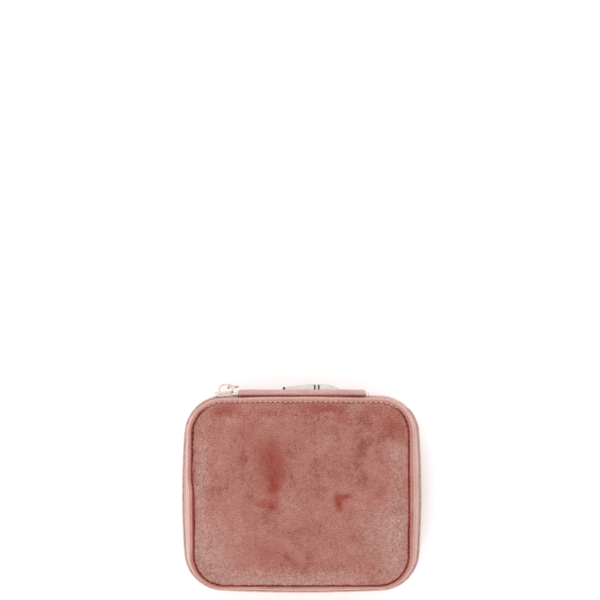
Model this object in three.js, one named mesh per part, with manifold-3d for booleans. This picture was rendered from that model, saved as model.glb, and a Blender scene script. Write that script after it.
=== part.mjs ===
// A zipped travel jewelry case covered in velvet, in millimetres.
// It lies on its base: +X is to its right, +Y towards the hinge at the back, +Z up.
// The origin is the middle of the base's flat underside.
// The lid is the mirror image of the base about the plane of the zip, apart from its padded top
// and what each of them holds inside.
import * as THREE from "three";
import { mergeVertices } from "three/addons/utils/BufferGeometryUtils.js";
import Module from "manifold-3d";

const wasm = await Module();
wasm.setup();

// Driving dimensions.
const ZIP_Z = 26; // height of the plane where the two halves meet
const MIDLINE = { halfWidth: 60, halfDepth: 50, corner: 20, bow: 1 }; // outer face of the zip coil
const SEAM = { halfWidth: 56.9, halfDepth: 48.2, corner: 17.5, bow: 0.6 }; // side band meets zip tape
const EDGE = { halfWidth: 52.8, halfDepth: 45.3, corner: 15, bow: 0.1 }; // stitched edge of a panel
const GAP = 0.3; // clearance between pieces that touch

// Heights in the base half. The lid half is this turned over.
const PANEL_TOP = 1.6;
const FOAM_TOP = 2.9;
const BOARD_BOTTOM = FOAM_TOP + GAP;
const BOARD_TOP = 4.6;
const FLOOR_TOP = 5.9; // upper face of the lining, where the jewelry lies
const SEAM_Z = 19; // upper edge of the side band, the boards and the lining
const TAPE_TOP = 25.2;

const BAND_THICKNESS = 0.9;
const BOARD_THICKNESS = 1.6;
const LINING_THICKNESS = 0.9;
const TAPE_THICKNESS = 0.6;
const WALL_INSET = BAND_THICKNESS + 0.4; // outer face of the wall board, inside the seam line
const WALL_FOOT = 0.6; // how far the wall board's foot stands outside the stitched edge
const BAND_FOOT = 1.9; // how far the side band's foot stands outside the stitched edge

// Zip coil: one row on each half, with a slit between them for the slider's post.
const COIL_DEPTH = 1.6;
const COIL_HEIGHT = 1.8;
const COIL_SLIT = 1.2;

// Hinge at the back.
const SPINE_HALF_WIDTH = 32;
const SPINE_HALF_HEIGHT = 9;
const SPINE_EDGE_Y = 49.3;
const SPINE_CROWN_Y = 51.75;
const SPINE_THICKNESS = 0.95;
const HINGE_LINING_Y = [46.6, 50.2]; // its outer face at the rims and at the zip plane
const HINGE_LINING_HALF_HEIGHT = 6.4;
const ZIP_END_X = SPINE_HALF_WIDTH + 0.5; // where the tapes stop beside the spine
const SOFT_END_X = 53; // the lid's zip bends with the hinge from here, round the corner, to the spine

// Slider, in its own frame: u along the zip towards the spine, n outwards, z up.
const SLIDER_X = -38.9;
const SLIDER_HALF_LENGTH = 4.8;
const SLIDER_HALF_HEIGHT = 3.9;
const SLIDER_CLEARANCE = 0.85; // room for the chain to bend inside the slider
const SLIDER_INNER_CLEARANCE = 1.3;
const PLATE_THICKNESS = 0.9;
const LIP_DEPTH = 1.6;
const LIP_THICKNESS = 0.6;
const POST = { from: 2.2, to: 4.0, halfHeight: 0.3 };
const CROWN_U = 1.2;
const CROWN_HALF_WIDTH = 3.7;
const CROWN_TOP = 5.55;
const CROWN_SHOULDER = 3.6;
const CROWN_BAND = 0.9;
const CROWN_HALF_HEIGHT = 1.1;

// Pull tab, hung by its eye on the crown's leg nearest the spine.
const PULL_U = CROWN_U + CROWN_HALF_WIDTH - CROWN_BAND / 2;
const PULL_N = 2.98;
const PULL_THICKNESS = 1.25;
const PULL_EYE_RADIUS = 1.7;
const PULL_HEAD_RADIUS = 2.6;
const PULL_NECK = 1.9; // half width
const PULL_FOOT_RADIUS = 3.1;
const PULL_DROP = 13; // from the eye to the centre of its round foot

// Label, folded and sewn in below the spine.
const LABEL = { left: -11.4, right: 19.3, inner: 48.9, outer: 54.4, bottom: 15.7, thickness: 0.8 };

// What the base holds.
const ROLL_COUNT = 4;
const ROLL_PITCH = 10;
const ROLL_WIDTH = 9.4;
const ROLL_FIRST_X = -42;
const ROLL_HALF_LENGTH = 37.5;
const ROLL_TOP = 18;
const PARTITION = { left: -6, thickness: 1.6, halfLength: 42.4, top: 18.4 };
const DIVIDER = { left: -4.1, right: 50.1, y: -1, thickness: 1.6, top: 18.2 };

// What the lid holds, as heights in the lid itself.
const LID_LINING_Z = 2 * ZIP_Z - FLOOR_TOP;
const POCKET = { halfWidth: 44, front: -4, back: 40.5, depth: 8, wall: 0.8, corner: 8 };
const HEM_RADIUS = 1.1;
const TAB_X = [-24, 0, 24];
const TAB = { fixedY: -37, freeY: -14, halfWidth: 5, thickness: 1, top: 44.4 };
const ANCHOR = { halfWidth: 32, front: -40.8, back: -37.8 };
const SNAP_Y = -18.6;
const SNAP_RADIUS = 3.6;

const finish = (color, roughness, metalness) =>
  new THREE.MeshStandardMaterial({ color, roughness, metalness });
const VELVET = finish(0xb2786e, 0.9, 0);
const ZIP_CLOTH = finish(0xd9b3ab, 0.8, 0);
const LINING = finish(0xc8988f, 0.9, 0);
const BOARD = finish(0xb9a78f, 0.8, 0);
const FOAM = finish(0xe8e4dc, 0.9, 0);
const METAL = finish(0xdcdad8, 0.2, 1);
const SATIN = finish(0xe4e1de, 0.5, 0);
const STRAP = finish(0xb98279, 0.6, 0);

// ---- Outlines: four corners joined by slightly bowed sides ----

// The same outline a distance inside itself, or outside for a negative distance.
function inset(outline, distance) {
  return {
    halfWidth: outline.halfWidth - distance,
    halfDepth: outline.halfDepth - distance,
    corner: outline.corner - distance,
    bow: outline.bow,
  };
}

function between(a, b, share) {
  const mixed = {};
  for (const key of Object.keys(a)) mixed[key] = a[key] + (b[key] - a[key]) * share;
  return mixed;
}

// The radii of the bowed sides and ends, and the angles at which they meet the corner's arc.
function arcsOf({ halfWidth, halfDepth, corner, bow }) {
  const cx = halfWidth - corner - bow;
  const cy = halfDepth - corner - bow;
  const reach = (corner + bow) ** 2 - corner ** 2;
  const sideRadius = (reach + cy ** 2) / (2 * bow);
  const endRadius = (reach + cx ** 2) / (2 * bow);
  return {
    cx,
    cy,
    sideRadius,
    endRadius,
    sideAngle: Math.asin(cy / (sideRadius - corner)),
    endAngle: Math.asin(cx / (endRadius - corner)),
  };
}

// A station runs 0 to 12 round the outline, from +X through +Y: in each quarter, 0 to 1 is the
// bowed side, 1 to 2 the corner and 2 to 3 the bowed end.
function pointAt(outline, station) {
  const turn = ((station % 12) + 12) % 12;
  const quarter = Math.floor(turn / 3);
  const local = quarter % 2 ? 3 - (turn - 3 * quarter) : turn - 3 * quarter;
  const a = arcsOf(outline);
  const start = a.sideAngle;
  const stop = Math.PI / 2 - a.endAngle;
  let x, y;
  if (local <= 1) {
    x = outline.halfWidth - a.sideRadius * (1 - Math.cos(local * a.sideAngle));
    y = a.sideRadius * Math.sin(local * a.sideAngle);
  } else if (local >= 2) {
    const angle = (3 - local) * a.endAngle;
    x = a.endRadius * Math.sin(angle);
    y = outline.halfDepth - a.endRadius * (1 - Math.cos(angle));
  } else {
    const angle = start + (stop - start) * (local - 1);
    x = a.cx + outline.corner * Math.cos(angle);
    y = a.cy + outline.corner * Math.sin(angle);
  }
  return new THREE.Vector2(quarter === 1 || quarter === 2 ? -x : x, quarter > 1 ? -y : y);
}

// The station on the back right of the outline at a given x.
function stationAtX(outline, x) {
  const a = arcsOf(outline);
  return 3 - Math.asin(x / a.endRadius) / a.endAngle;
}

const CORNER_STEPS = 6;
const SIDE_STEPS = 2;

// The stations of a whole turn.
function turnStations() {
  const steps = [SIDE_STEPS, CORNER_STEPS, SIDE_STEPS];
  const quarter = steps.flatMap((n, part) => Array.from({ length: n }, (_, i) => part + i / n));
  return [0, 3, 6, 9].flatMap((start) => quarter.map((s) => start + s));
}

// The stations from one to another, both included, counted on past 12 where the path passes +X.
function stationsBetween(from, to) {
  const twoTurns = [...turnStations(), ...turnStations().map((s) => s + 12)];
  return [from, ...twoTurns.filter((s) => s > from + 0.02 && s < to - 0.02), to];
}

// ---- Solids ----

// A closed section, given as [outline, z] pairs, swept round its outlines.
function sweep(section, stations = null) {
  const closed = stations === null;
  const path = closed ? turnStations() : stations;
  const positions = [];
  for (const station of path) {
    for (const [outline, z] of section) {
      const p = pointAt(outline, station);
      positions.push(p.x, p.y, z);
    }
  }
  const n = section.length;
  const index = [];
  const spans = closed ? path.length : path.length - 1;
  for (let i = 0; i < spans; i++) {
    const here = i * n;
    const next = ((i + 1) % path.length) * n;
    for (let j = 0; j < n; j++) {
      const k = (j + 1) % n;
      index.push(here + j, next + j, next + k, here + j, next + k, here + k);
    }
  }
  if (!closed) {
    const flat = section.map(([outline, z]) => new THREE.Vector2(outline.halfDepth, z));
    const last = (path.length - 1) * n;
    for (const [a, b, c] of THREE.ShapeUtils.triangulateShape(flat, [])) {
      index.push(a, b, c, last + a, last + c, last + b);
    }
  }
  return facingOut(positions, index);
}

// A stack of [outline, z] levels from the lowest to the highest, closed at both ends.
function stack(levels) {
  const path = turnStations();
  const positions = [];
  for (const [outline, z] of levels) {
    for (const station of path) {
      const p = pointAt(outline, station);
      positions.push(p.x, p.y, z);
    }
  }
  const n = path.length;
  const index = [];
  for (let level = 0; level + 1 < levels.length; level++) {
    for (let i = 0; i < n; i++) {
      const a = level * n + i;
      const b = level * n + ((i + 1) % n);
      index.push(a, b, b + n, a, b + n, a + n);
    }
  }
  const top = (levels.length - 1) * n;
  const flat = path.map((station) => pointAt(levels[0][0], station));
  for (const [a, b, c] of THREE.ShapeUtils.triangulateShape(flat, [])) {
    index.push(a, c, b, top + a, top + b, top + c);
  }
  return facingOut(positions, index);
}

// An indexed geometry, with its triangles turned round if they face inwards.
function facingOut(positions, index) {
  const corner = (i) => new THREE.Vector3().fromArray(positions, 3 * index[i]);
  let volume = 0;
  for (let i = 0; i < index.length; i += 3) {
    volume += corner(i).dot(corner(i + 1).cross(corner(i + 2)));
  }
  if (volume < 0) index.reverse();
  const geometry = new THREE.BufferGeometry();
  geometry.setAttribute("position", new THREE.Float32BufferAttribute(positions, 3));
  geometry.setIndex(index);
  return geometry;
}

function plate(outline, bottom, top) {
  const shape = new THREE.Shape(turnStations().map((station) => pointAt(outline, station)));
  const geometry = new THREE.ExtrudeGeometry(shape, { depth: top - bottom, bevelEnabled: false });
  return geometry.translate(0, 0, bottom);
}

function block(x0, x1, y0, y1, z0, z1) {
  return new THREE.BoxGeometry(x1 - x0, y1 - y0, z1 - z0).translate(
    (x0 + x1) / 2,
    (y0 + y1) / 2,
    (z0 + z1) / 2,
  );
}

// A shape drawn in the (y, z) plane, extruded along X between two values.
function alongX(shape, x0, x1) {
  const settings = { depth: x1 - x0, bevelEnabled: false, curveSegments: 10 };
  const geometry = new THREE.ExtrudeGeometry(shape, settings);
  const axes = new THREE.Matrix4().makeBasis(
    new THREE.Vector3(0, 1, 0),
    new THREE.Vector3(0, 0, 1),
    new THREE.Vector3(1, 0, 0),
  );
  return geometry.applyMatrix4(axes).translate(x0, 0, 0);
}

// A shape drawn in the (x, z) plane, extruded along Y between two values.
function alongY(shape, y0, y1) {
  const settings = { depth: y1 - y0, bevelEnabled: false, curveSegments: 8 };
  const geometry = new THREE.ExtrudeGeometry(shape, settings);
  return geometry.rotateX(Math.PI / 2).translate(0, y1, 0);
}

function toSolid(geometry) {
  const bare = geometry.clone();
  bare.deleteAttribute("normal");
  bare.deleteAttribute("uv");
  const merged = mergeVertices(bare, 1e-4);
  return new wasm.Manifold(
    new wasm.Mesh({
      numProp: 3,
      vertProperties: merged.attributes.position.array,
      triVerts: new Uint32Array(merged.index.array),
    }),
  );
}

function toGeometry(solid) {
  const mesh = solid.getMesh();
  const geometry = new THREE.BufferGeometry();
  geometry.setAttribute("position", new THREE.BufferAttribute(mesh.vertProperties, 3));
  geometry.setIndex(new THREE.BufferAttribute(mesh.triVerts, 1));
  return geometry;
}

function joined(...geometries) {
  return toGeometry(geometries.map(toSolid).reduce((a, b) => a.add(b)));
}

function named(name, geometry, material) {
  const mesh = new THREE.Mesh(geometry, material);
  mesh.name = name;
  return mesh;
}

// ---- One half of the shell, as the base has it ----

function wallBoard() {
  const foot = inset(EDGE, -WALL_FOOT);
  const rim = inset(SEAM, WALL_INSET);
  return sweep([
    [foot, BOARD_BOTTOM],
    [rim, SEAM_Z],
    [inset(rim, BOARD_THICKNESS), SEAM_Z],
    [inset(foot, BOARD_THICKNESS), BOARD_BOTTOM],
  ]);
}

function liningWall() {
  const setBack = BOARD_THICKNESS + GAP;
  const foot = inset(EDGE, setBack - WALL_FOOT);
  const rim = inset(SEAM, WALL_INSET + setBack);
  const bottom = BOARD_TOP + GAP;
  return sweep([
    [foot, bottom],
    [rim, SEAM_Z],
    [inset(rim, LINING_THICKNESS), SEAM_Z],
    [inset(foot, LINING_THICKNESS), bottom],
  ]);
}

// The velvet band leans out from the panel's edge to the zip, a little fuller at half height.
function sideBand() {
  const foot = inset(EDGE, -BAND_FOOT);
  const waist = inset(between(foot, SEAM, 0.5), -0.4);
  const bottom = 3.4;
  const middle = (bottom + SEAM_Z) / 2;
  return sweep([
    [foot, bottom],
    [waist, middle],
    [SEAM, SEAM_Z],
    [inset(SEAM, BAND_THICKNESS), SEAM_Z],
    [inset(waist, BAND_THICKNESS), middle],
    [inset(foot, BAND_THICKNESS), bottom],
  ]);
}

// The rolled seam that stands round the panel, outside its stitched edge.
function welt() {
  const radius = 1.05;
  const centre = inset(EDGE, -1.4);
  const sides = 6;
  const section = Array.from({ length: sides }, (_, i) => {
    const angle = ((i + 0.5) / sides) * 2 * Math.PI;
    return [inset(centre, -radius * Math.cos(angle)), 2.05 + radius * Math.sin(angle)];
  });
  return sweep(section);
}

function zipTape(stations) {
  const top = inset(MIDLINE, COIL_DEPTH + GAP);
  return sweep(
    [
      [SEAM, SEAM_Z + GAP],
      [top, TAPE_TOP],
      [inset(top, TAPE_THICKNESS), TAPE_TOP],
      [inset(SEAM, TAPE_THICKNESS), SEAM_Z + GAP],
    ],
    stations,
  );
}

function zipCoil(stations) {
  const top = ZIP_Z - COIL_SLIT / 2;
  const bottom = top - COIL_HEIGHT;
  const round = 0.45;
  return sweep(
    [
      [inset(MIDLINE, round), bottom],
      [MIDLINE, bottom + round],
      [MIDLINE, top - round],
      [inset(MIDLINE, round), top],
      [inset(MIDLINE, COIL_DEPTH), top],
      [inset(MIDLINE, COIL_DEPTH), bottom],
    ],
    stations,
  );
}

// The lid's tape and coil beside the spine are one soft piece, which bends as the lid opens.
function zipEnd(stations) {
  const top = ZIP_Z - COIL_SLIT / 2;
  const back = inset(MIDLINE, COIL_DEPTH + GAP + TAPE_THICKNESS);
  return sweep(
    [
      [SEAM, SEAM_Z + GAP],
      [inset(MIDLINE, COIL_DEPTH + GAP), top - COIL_HEIGHT],
      [MIDLINE, top - COIL_HEIGHT],
      [MIDLINE, top],
      [back, top],
      [inset(SEAM, TAPE_THICKNESS), SEAM_Z + GAP],
    ],
    stations,
  );
}

// Both halves have these. The zip runs between the two stations at the back.
function halfShell(side, zipStart, zipStop) {
  const zipStations = stationsBetween(zipStart, zipStop);
  const board = inset(EDGE, BOARD_THICKNESS + GAP - WALL_FOOT);
  const liningFloor = inset(EDGE, BOARD_THICKNESS + LINING_THICKNESS + 2 * GAP - WALL_FOOT);
  const group = new THREE.Group();
  group.add(
    named(`${side}_foam_pad`, plate(inset(EDGE, 0.5), PANEL_TOP + GAP, FOAM_TOP), FOAM),
    named(`${side}_board`, plate(board, BOARD_BOTTOM, BOARD_TOP), BOARD),
    named(`${side}_wall_board`, wallBoard(), BOARD),
    named(`${side}_side_band`, sideBand(), VELVET),
    named(`${side}_welt`, welt(), VELVET),
    named(`${side}_lining_panel`, plate(liningFloor, BOARD_TOP + GAP, FLOOR_TOP), LINING),
    named(`${side}_lining_wall`, liningWall(), LINING),
    named(`${side}_zip_tape`, zipTape(zipStations), ZIP_CLOTH),
    named(`${side}_zip_coil`, zipCoil(zipStations), ZIP_CLOTH),
  );
  return group;
}

// ---- Base ----

function bottomPanel() {
  return stack([
    [inset(EDGE, 1.5), 0],
    [inset(EDGE, 0.4), 0.7],
    [inset(EDGE, 0.4), PANEL_TOP],
  ]);
}

// One padded roll of the ring holder: straight sides and a round top, lying along Y.
function ringRoll(x) {
  const half = ROLL_WIDTH / 2;
  const shape = new THREE.Shape();
  shape.moveTo(x - half, FLOOR_TOP + GAP);
  shape.lineTo(x + half, FLOOR_TOP + GAP);
  shape.lineTo(x + half, ROLL_TOP - half);
  shape.absarc(x, ROLL_TOP - half, half, 0, Math.PI, false);
  return alongY(shape, -ROLL_HALF_LENGTH, ROLL_HALF_LENGTH);
}

function partition() {
  const { left, thickness, halfLength, top } = PARTITION;
  return block(left, left + thickness, -halfLength, halfLength, FLOOR_TOP + GAP, top);
}

function divider() {
  const { left, right, y, thickness, top } = DIVIDER;
  return block(left, right, y - thickness / 2, y + thickness / 2, FLOOR_TOP + GAP, top);
}

// A strip of cloth across the back, bowed outwards between its two sewn edges.
function bowedStrip(edgeY, crownY, thickness, halfHeight, halfWidth) {
  const rise = crownY - edgeY;
  const radius = (halfHeight ** 2 + rise ** 2) / (2 * rise);
  const angle = Math.asin(halfHeight / radius);
  const centreY = crownY - radius;
  const shape = new THREE.Shape();
  shape.absarc(centreY, ZIP_Z, radius, -angle, angle, false);
  shape.absarc(centreY, ZIP_Z, radius - thickness, angle, -angle, true);
  return alongX(shape, -halfWidth, halfWidth);
}

function label() {
  const { left, right, inner, outer, bottom, thickness } = LABEL;
  const shape = new THREE.Shape();
  shape.moveTo(left, inner);
  shape.lineTo(right, inner);
  shape.lineTo(right, inner + 2.6);
  shape.quadraticCurveTo(right - 5, outer, right - 10, outer);
  shape.lineTo(left + 2.5, outer - 1.1);
  shape.quadraticCurveTo(left, outer - 1.6, left, inner + 2.6);
  const options = { depth: thickness, bevelEnabled: false, curveSegments: 6 };
  return new THREE.ExtrudeGeometry(shape, options).translate(0, 0, bottom);
}

// A metal clip across the ends of both coils.
function zipStop(side) {
  const near = side * (ZIP_END_X + 0.1);
  const far = side * (ZIP_END_X + 1.2);
  const y = pointAt(MIDLINE, stationAtX(MIDLINE, ZIP_END_X)).y + GAP;
  return block(Math.min(near, far), Math.max(near, far), y, y + 0.7, ZIP_Z - 2.5, ZIP_Z + 2.5);
}

// ---- Slider and pull tab ----

// The slider's plate seen from outside: a blunt nose towards the spine and a narrower tail.
function sliderOutline() {
  const length = SLIDER_HALF_LENGTH;
  const height = SLIDER_HALF_HEIGHT;
  const shape = new THREE.Shape();
  shape.moveTo(-length + 0.8, -height * 0.78);
  shape.lineTo(length * 0.2, -height);
  shape.quadraticCurveTo(length, -height, length, -height * 0.35);
  shape.lineTo(length, height * 0.35);
  shape.quadraticCurveTo(length, height, length * 0.2, height);
  shape.lineTo(-length + 0.8, height * 0.78);
  shape.quadraticCurveTo(-length, height * 0.7, -length, height * 0.4);
  shape.lineTo(-length, -height * 0.4);
  shape.quadraticCurveTo(-length, -height * 0.7, -length + 0.8, -height * 0.78);
  return shape;
}

function sliderLip(side) {
  const inner = side * (SLIDER_HALF_HEIGHT * 0.78 - LIP_THICKNESS);
  const outer = side * SLIDER_HALF_HEIGHT * 0.78;
  const reach = SLIDER_HALF_LENGTH - 1.4;
  const n = SLIDER_CLEARANCE;
  return block(-reach, reach, n - LIP_DEPTH, n + 0.1, Math.min(inner, outer), Math.max(inner, outer));
}

// The arched bridge that the pull tab hangs on.
function crown() {
  const foot = SLIDER_CLEARANCE + PLATE_THICKNESS - 0.1;
  const arch = (halfWidth, top) => {
    const shape = new THREE.Shape();
    shape.moveTo(CROWN_U - halfWidth, foot);
    shape.lineTo(CROWN_U + halfWidth, foot);
    shape.lineTo(CROWN_U + halfWidth, CROWN_SHOULDER);
    shape.absellipse(CROWN_U, CROWN_SHOULDER, halfWidth, top - CROWN_SHOULDER, 0, Math.PI, false);
    return shape;
  };
  const height = 2 * CROWN_HALF_HEIGHT;
  const options = { depth: height, bevelEnabled: false, curveSegments: 14 };
  const outside = new THREE.ExtrudeGeometry(arch(CROWN_HALF_WIDTH, CROWN_TOP), options);
  const opening = new THREE.ExtrudeGeometry(arch(CROWN_HALF_WIDTH - CROWN_BAND, CROWN_TOP - CROWN_BAND), {
    ...options,
    depth: height + 2,
  });
  outside.translate(0, 0, -CROWN_HALF_HEIGHT);
  opening.translate(0, 0, -CROWN_HALF_HEIGHT - 1);
  return toGeometry(toSolid(outside).subtract(toSolid(opening)));
}

function sliderBody() {
  const inside = -(COIL_DEPTH + GAP + TAPE_THICKNESS + SLIDER_INNER_CLEARANCE);
  const postHeight = 2 * POST.halfHeight;
  const post = new THREE.BoxGeometry(POST.to - POST.from, SLIDER_CLEARANCE - inside + 0.2, postHeight);
  post.translate((POST.from + POST.to) / 2, (SLIDER_CLEARANCE + inside) / 2, 0);
  return joined(
    alongY(sliderOutline(), SLIDER_CLEARANCE, SLIDER_CLEARANCE + PLATE_THICKNESS),
    alongY(sliderOutline(), inside - PLATE_THICKNESS, inside),
    post,
    sliderLip(1),
    sliderLip(-1),
    crown(),
  );
}

function pullTab() {
  const shape = new THREE.Shape();
  const headAngle = Math.asin(PULL_NECK / PULL_HEAD_RADIUS);
  const footAngle = Math.asin(PULL_NECK / PULL_FOOT_RADIUS);
  shape.absarc(PULL_U, 0, PULL_HEAD_RADIUS, -Math.PI / 2 + headAngle, (3 * Math.PI) / 2 - headAngle, false);
  const footFrom = Math.PI / 2 + footAngle;
  const footTo = (5 * Math.PI) / 2 - footAngle;
  shape.absarc(PULL_U, -PULL_DROP, PULL_FOOT_RADIUS, footFrom, footTo, false);
  shape.holes.push(new THREE.Path().absarc(PULL_U, 0, PULL_EYE_RADIUS, 0, 2 * Math.PI, true));
  return alongY(shape, PULL_N, PULL_N + PULL_THICKNESS);
}

// The slider's frame on the zip, facing straight out of the back.
function onTheZip(...meshes) {
  const { endRadius } = arcsOf(MIDLINE);
  const lean = Math.asin(-SLIDER_X / endRadius);
  const group = new THREE.Group();
  group.position.set(SLIDER_X, MIDLINE.halfDepth - endRadius * (1 - Math.cos(lean)), ZIP_Z);
  group.rotation.z = lean;
  group.add(...meshes);
  return group;
}

// ---- Lid ----

// Padded top: the cloth swells from its stitched edge to a nearly flat middle.
function topPanel() {
  const top = 2 * ZIP_Z;
  return stack([
    [inset(EDGE, 0.4), top - PANEL_TOP],
    [inset(EDGE, 0.4), top - 1.1],
    [inset(EDGE, 1.2), top - 0.3],
    [inset(EDGE, 4), top + 0.2],
    [inset(EDGE, 12), top + 0.5],
  ]);
}

// A shallow pouch on the lining, open towards the front.
function pocket() {
  const { halfWidth, front, back, depth, wall, corner } = POCKET;
  const outer = new THREE.Shape();
  outer.moveTo(-halfWidth, front);
  outer.lineTo(halfWidth, front);
  outer.lineTo(halfWidth, back - corner);
  outer.absarc(halfWidth - corner, back - corner, corner, 0, Math.PI / 2, false);
  outer.absarc(corner - halfWidth, back - corner, corner, Math.PI / 2, Math.PI, false);
  const inner = new THREE.Shape();
  inner.moveTo(wall - halfWidth, front - 1);
  inner.lineTo(halfWidth - wall, front - 1);
  inner.lineTo(halfWidth - wall, back - corner);
  inner.absarc(halfWidth - corner, back - corner, corner - wall, 0, Math.PI / 2, false);
  inner.absarc(corner - halfWidth, back - corner, corner - wall, Math.PI / 2, Math.PI, false);
  const options = { bevelEnabled: false, curveSegments: 4 };
  const low = LID_LINING_Z - GAP - depth;
  const whole = new THREE.ExtrudeGeometry(outer, { ...options, depth }).translate(0, 0, low);
  const room = new THREE.ExtrudeGeometry(inner, { ...options, depth }).translate(0, 0, low + wall);
  return toGeometry(toSolid(whole).subtract(toSolid(room)));
}

function pocketHem() {
  const length = 2 * POCKET.halfWidth;
  const hem = new THREE.CylinderGeometry(HEM_RADIUS, HEM_RADIUS, length, 8).rotateZ(Math.PI / 2);
  const z = LID_LINING_Z - GAP - POCKET.depth + POCKET.wall / 2;
  return hem.translate(0, POCKET.front - GAP - HEM_RADIUS, z);
}

function tabAnchor() {
  const { halfWidth, front, back } = ANCHOR;
  return block(-halfWidth, halfWidth, front, back, TAB.top - TAB.thickness, LID_LINING_Z - GAP);
}

// A strap sewn down at its front end, with a round free end over its press stud.
function necklaceTab(x) {
  const { fixedY, freeY, halfWidth, thickness, top } = TAB;
  const shape = new THREE.Shape();
  shape.moveTo(x - halfWidth, fixedY);
  shape.lineTo(x + halfWidth, fixedY);
  shape.lineTo(x + halfWidth, freeY - halfWidth);
  shape.absarc(x, freeY - halfWidth, halfWidth, 0, Math.PI, false);
  const options = { depth: thickness, bevelEnabled: false, curveSegments: 8 };
  return new THREE.ExtrudeGeometry(shape, options).translate(0, 0, top - thickness);
}

// A disc with a domed lower face, turned about its own axis.
function snapDisc(x, low, high, radius) {
  const profile = [
    new THREE.Vector2(0, low),
    new THREE.Vector2(radius * 0.7, low + 0.15),
    new THREE.Vector2(radius, low + 0.45),
    new THREE.Vector2(radius, high),
    new THREE.Vector2(0, high),
  ];
  return new THREE.LatheGeometry(profile, 16).rotateX(Math.PI / 2).translate(x, SNAP_Y, 0);
}

// ---- The case ----

function buildBase() {
  const end = stationAtX(MIDLINE, ZIP_END_X);
  const base = halfShell("base", 6 - end, 12 + end);
  base.add(
    named("base_bottom_panel", bottomPanel(), VELVET),
    named("partition", partition(), LINING),
    named("zip_stop_left", zipStop(-1), METAL),
    named("zip_stop_right", zipStop(1), METAL),
    named("woven_label", label(), SATIN),
  );
  for (let i = 0; i < ROLL_COUNT; i++) {
    base.add(named(`ring_roll_${i + 1}`, ringRoll(ROLL_FIRST_X + i * ROLL_PITCH), LINING));
  }
  return base;
}

function buildHinge() {
  const hinge = new THREE.Group();
  const spine = bowedStrip(
    SPINE_EDGE_Y,
    SPINE_CROWN_Y,
    SPINE_THICKNESS,
    SPINE_HALF_HEIGHT,
    SPINE_HALF_WIDTH,
  );
  const [rimY, foldY] = HINGE_LINING_Y;
  const lining = bowedStrip(rimY, foldY, SPINE_THICKNESS, HINGE_LINING_HALF_HEIGHT, SPINE_HALF_WIDTH);
  hinge.add(named("hinge_spine", spine, VELVET), named("hinge_lining", lining, LINING));
  const near = stationAtX(MIDLINE, ZIP_END_X);
  const far = cornerStation(SOFT_END_X);
  const ends = turnedOver();
  ends.add(
    named("zip_end_right", zipEnd(stationsBetween(far, near)), ZIP_CLOTH),
    named("zip_end_left", zipEnd(stationsBetween(6 - near, 6 - far)), ZIP_CLOTH),
  );
  hinge.add(ends);
  return hinge;
}

// The station on the back right corner of the midline at a given x.
function cornerStation(x) {
  const a = arcsOf(MIDLINE);
  const angle = Math.acos((x - a.cx) / MIDLINE.corner);
  return 1 + (angle - a.sideAngle) / (Math.PI / 2 - a.endAngle - a.sideAngle);
}

// A group in which the base's half is turned over to make the lid's.
function turnedOver() {
  const group = new THREE.Group();
  group.scale.z = -1;
  group.position.z = 2 * ZIP_Z;
  return group;
}

function buildLid() {
  const lid = new THREE.Group();
  const shell = turnedOver();
  const end = cornerStation(SOFT_END_X + GAP);
  shell.add(halfShell("lid", 6 - end, 12 + end));
  lid.add(
    shell,
    named("lid_top_panel", topPanel(), VELVET),
    named("lid_pocket", pocket(), LINING),
    named("lid_pocket_hem", pocketHem(), LINING),
    named("necklace_tab_anchor", tabAnchor(), STRAP),
  );
  TAB_X.forEach((x, i) => {
    const stud = snapDisc(x, TAB.top + GAP, LID_LINING_Z - GAP, SNAP_RADIUS - 1);
    lid.add(named(`snap_stud_${i + 1}`, stud, METAL));
  });
  return lid;
}

function buildTabs() {
  const tabs = new THREE.Group();
  TAB_X.forEach((x, i) => {
    const capTop = TAB.top - TAB.thickness - GAP;
    tabs.add(
      named(`necklace_tab_${i + 1}`, necklaceTab(x), STRAP),
      named(`snap_cap_${i + 1}`, snapDisc(x, capTop - 0.9, capTop, SNAP_RADIUS), METAL),
    );
  });
  return tabs;
}

const jewelryCase = new THREE.Group();
jewelryCase.add(
  buildBase(),
  buildHinge(),
  buildLid(),
  buildTabs(),
  named("divider", divider(), LINING),
  onTheZip(named("slider_body", sliderBody(), METAL), named("pull_tab", pullTab(), METAL)),
);

export default jewelryCase;
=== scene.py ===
"""A zipped travel jewelry case covered in dusty rose velvet, lying closed on its base.

Sizes are in millimetres until a mesh is made. Points round the shell are given by a station, which
runs 0 to 12 round the case from +X through +Y, a reach, which is how far outside a panel's stitched
edge they are, and a rise, which is how far above or below the plane of the zip they are.
"""

import math

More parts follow.
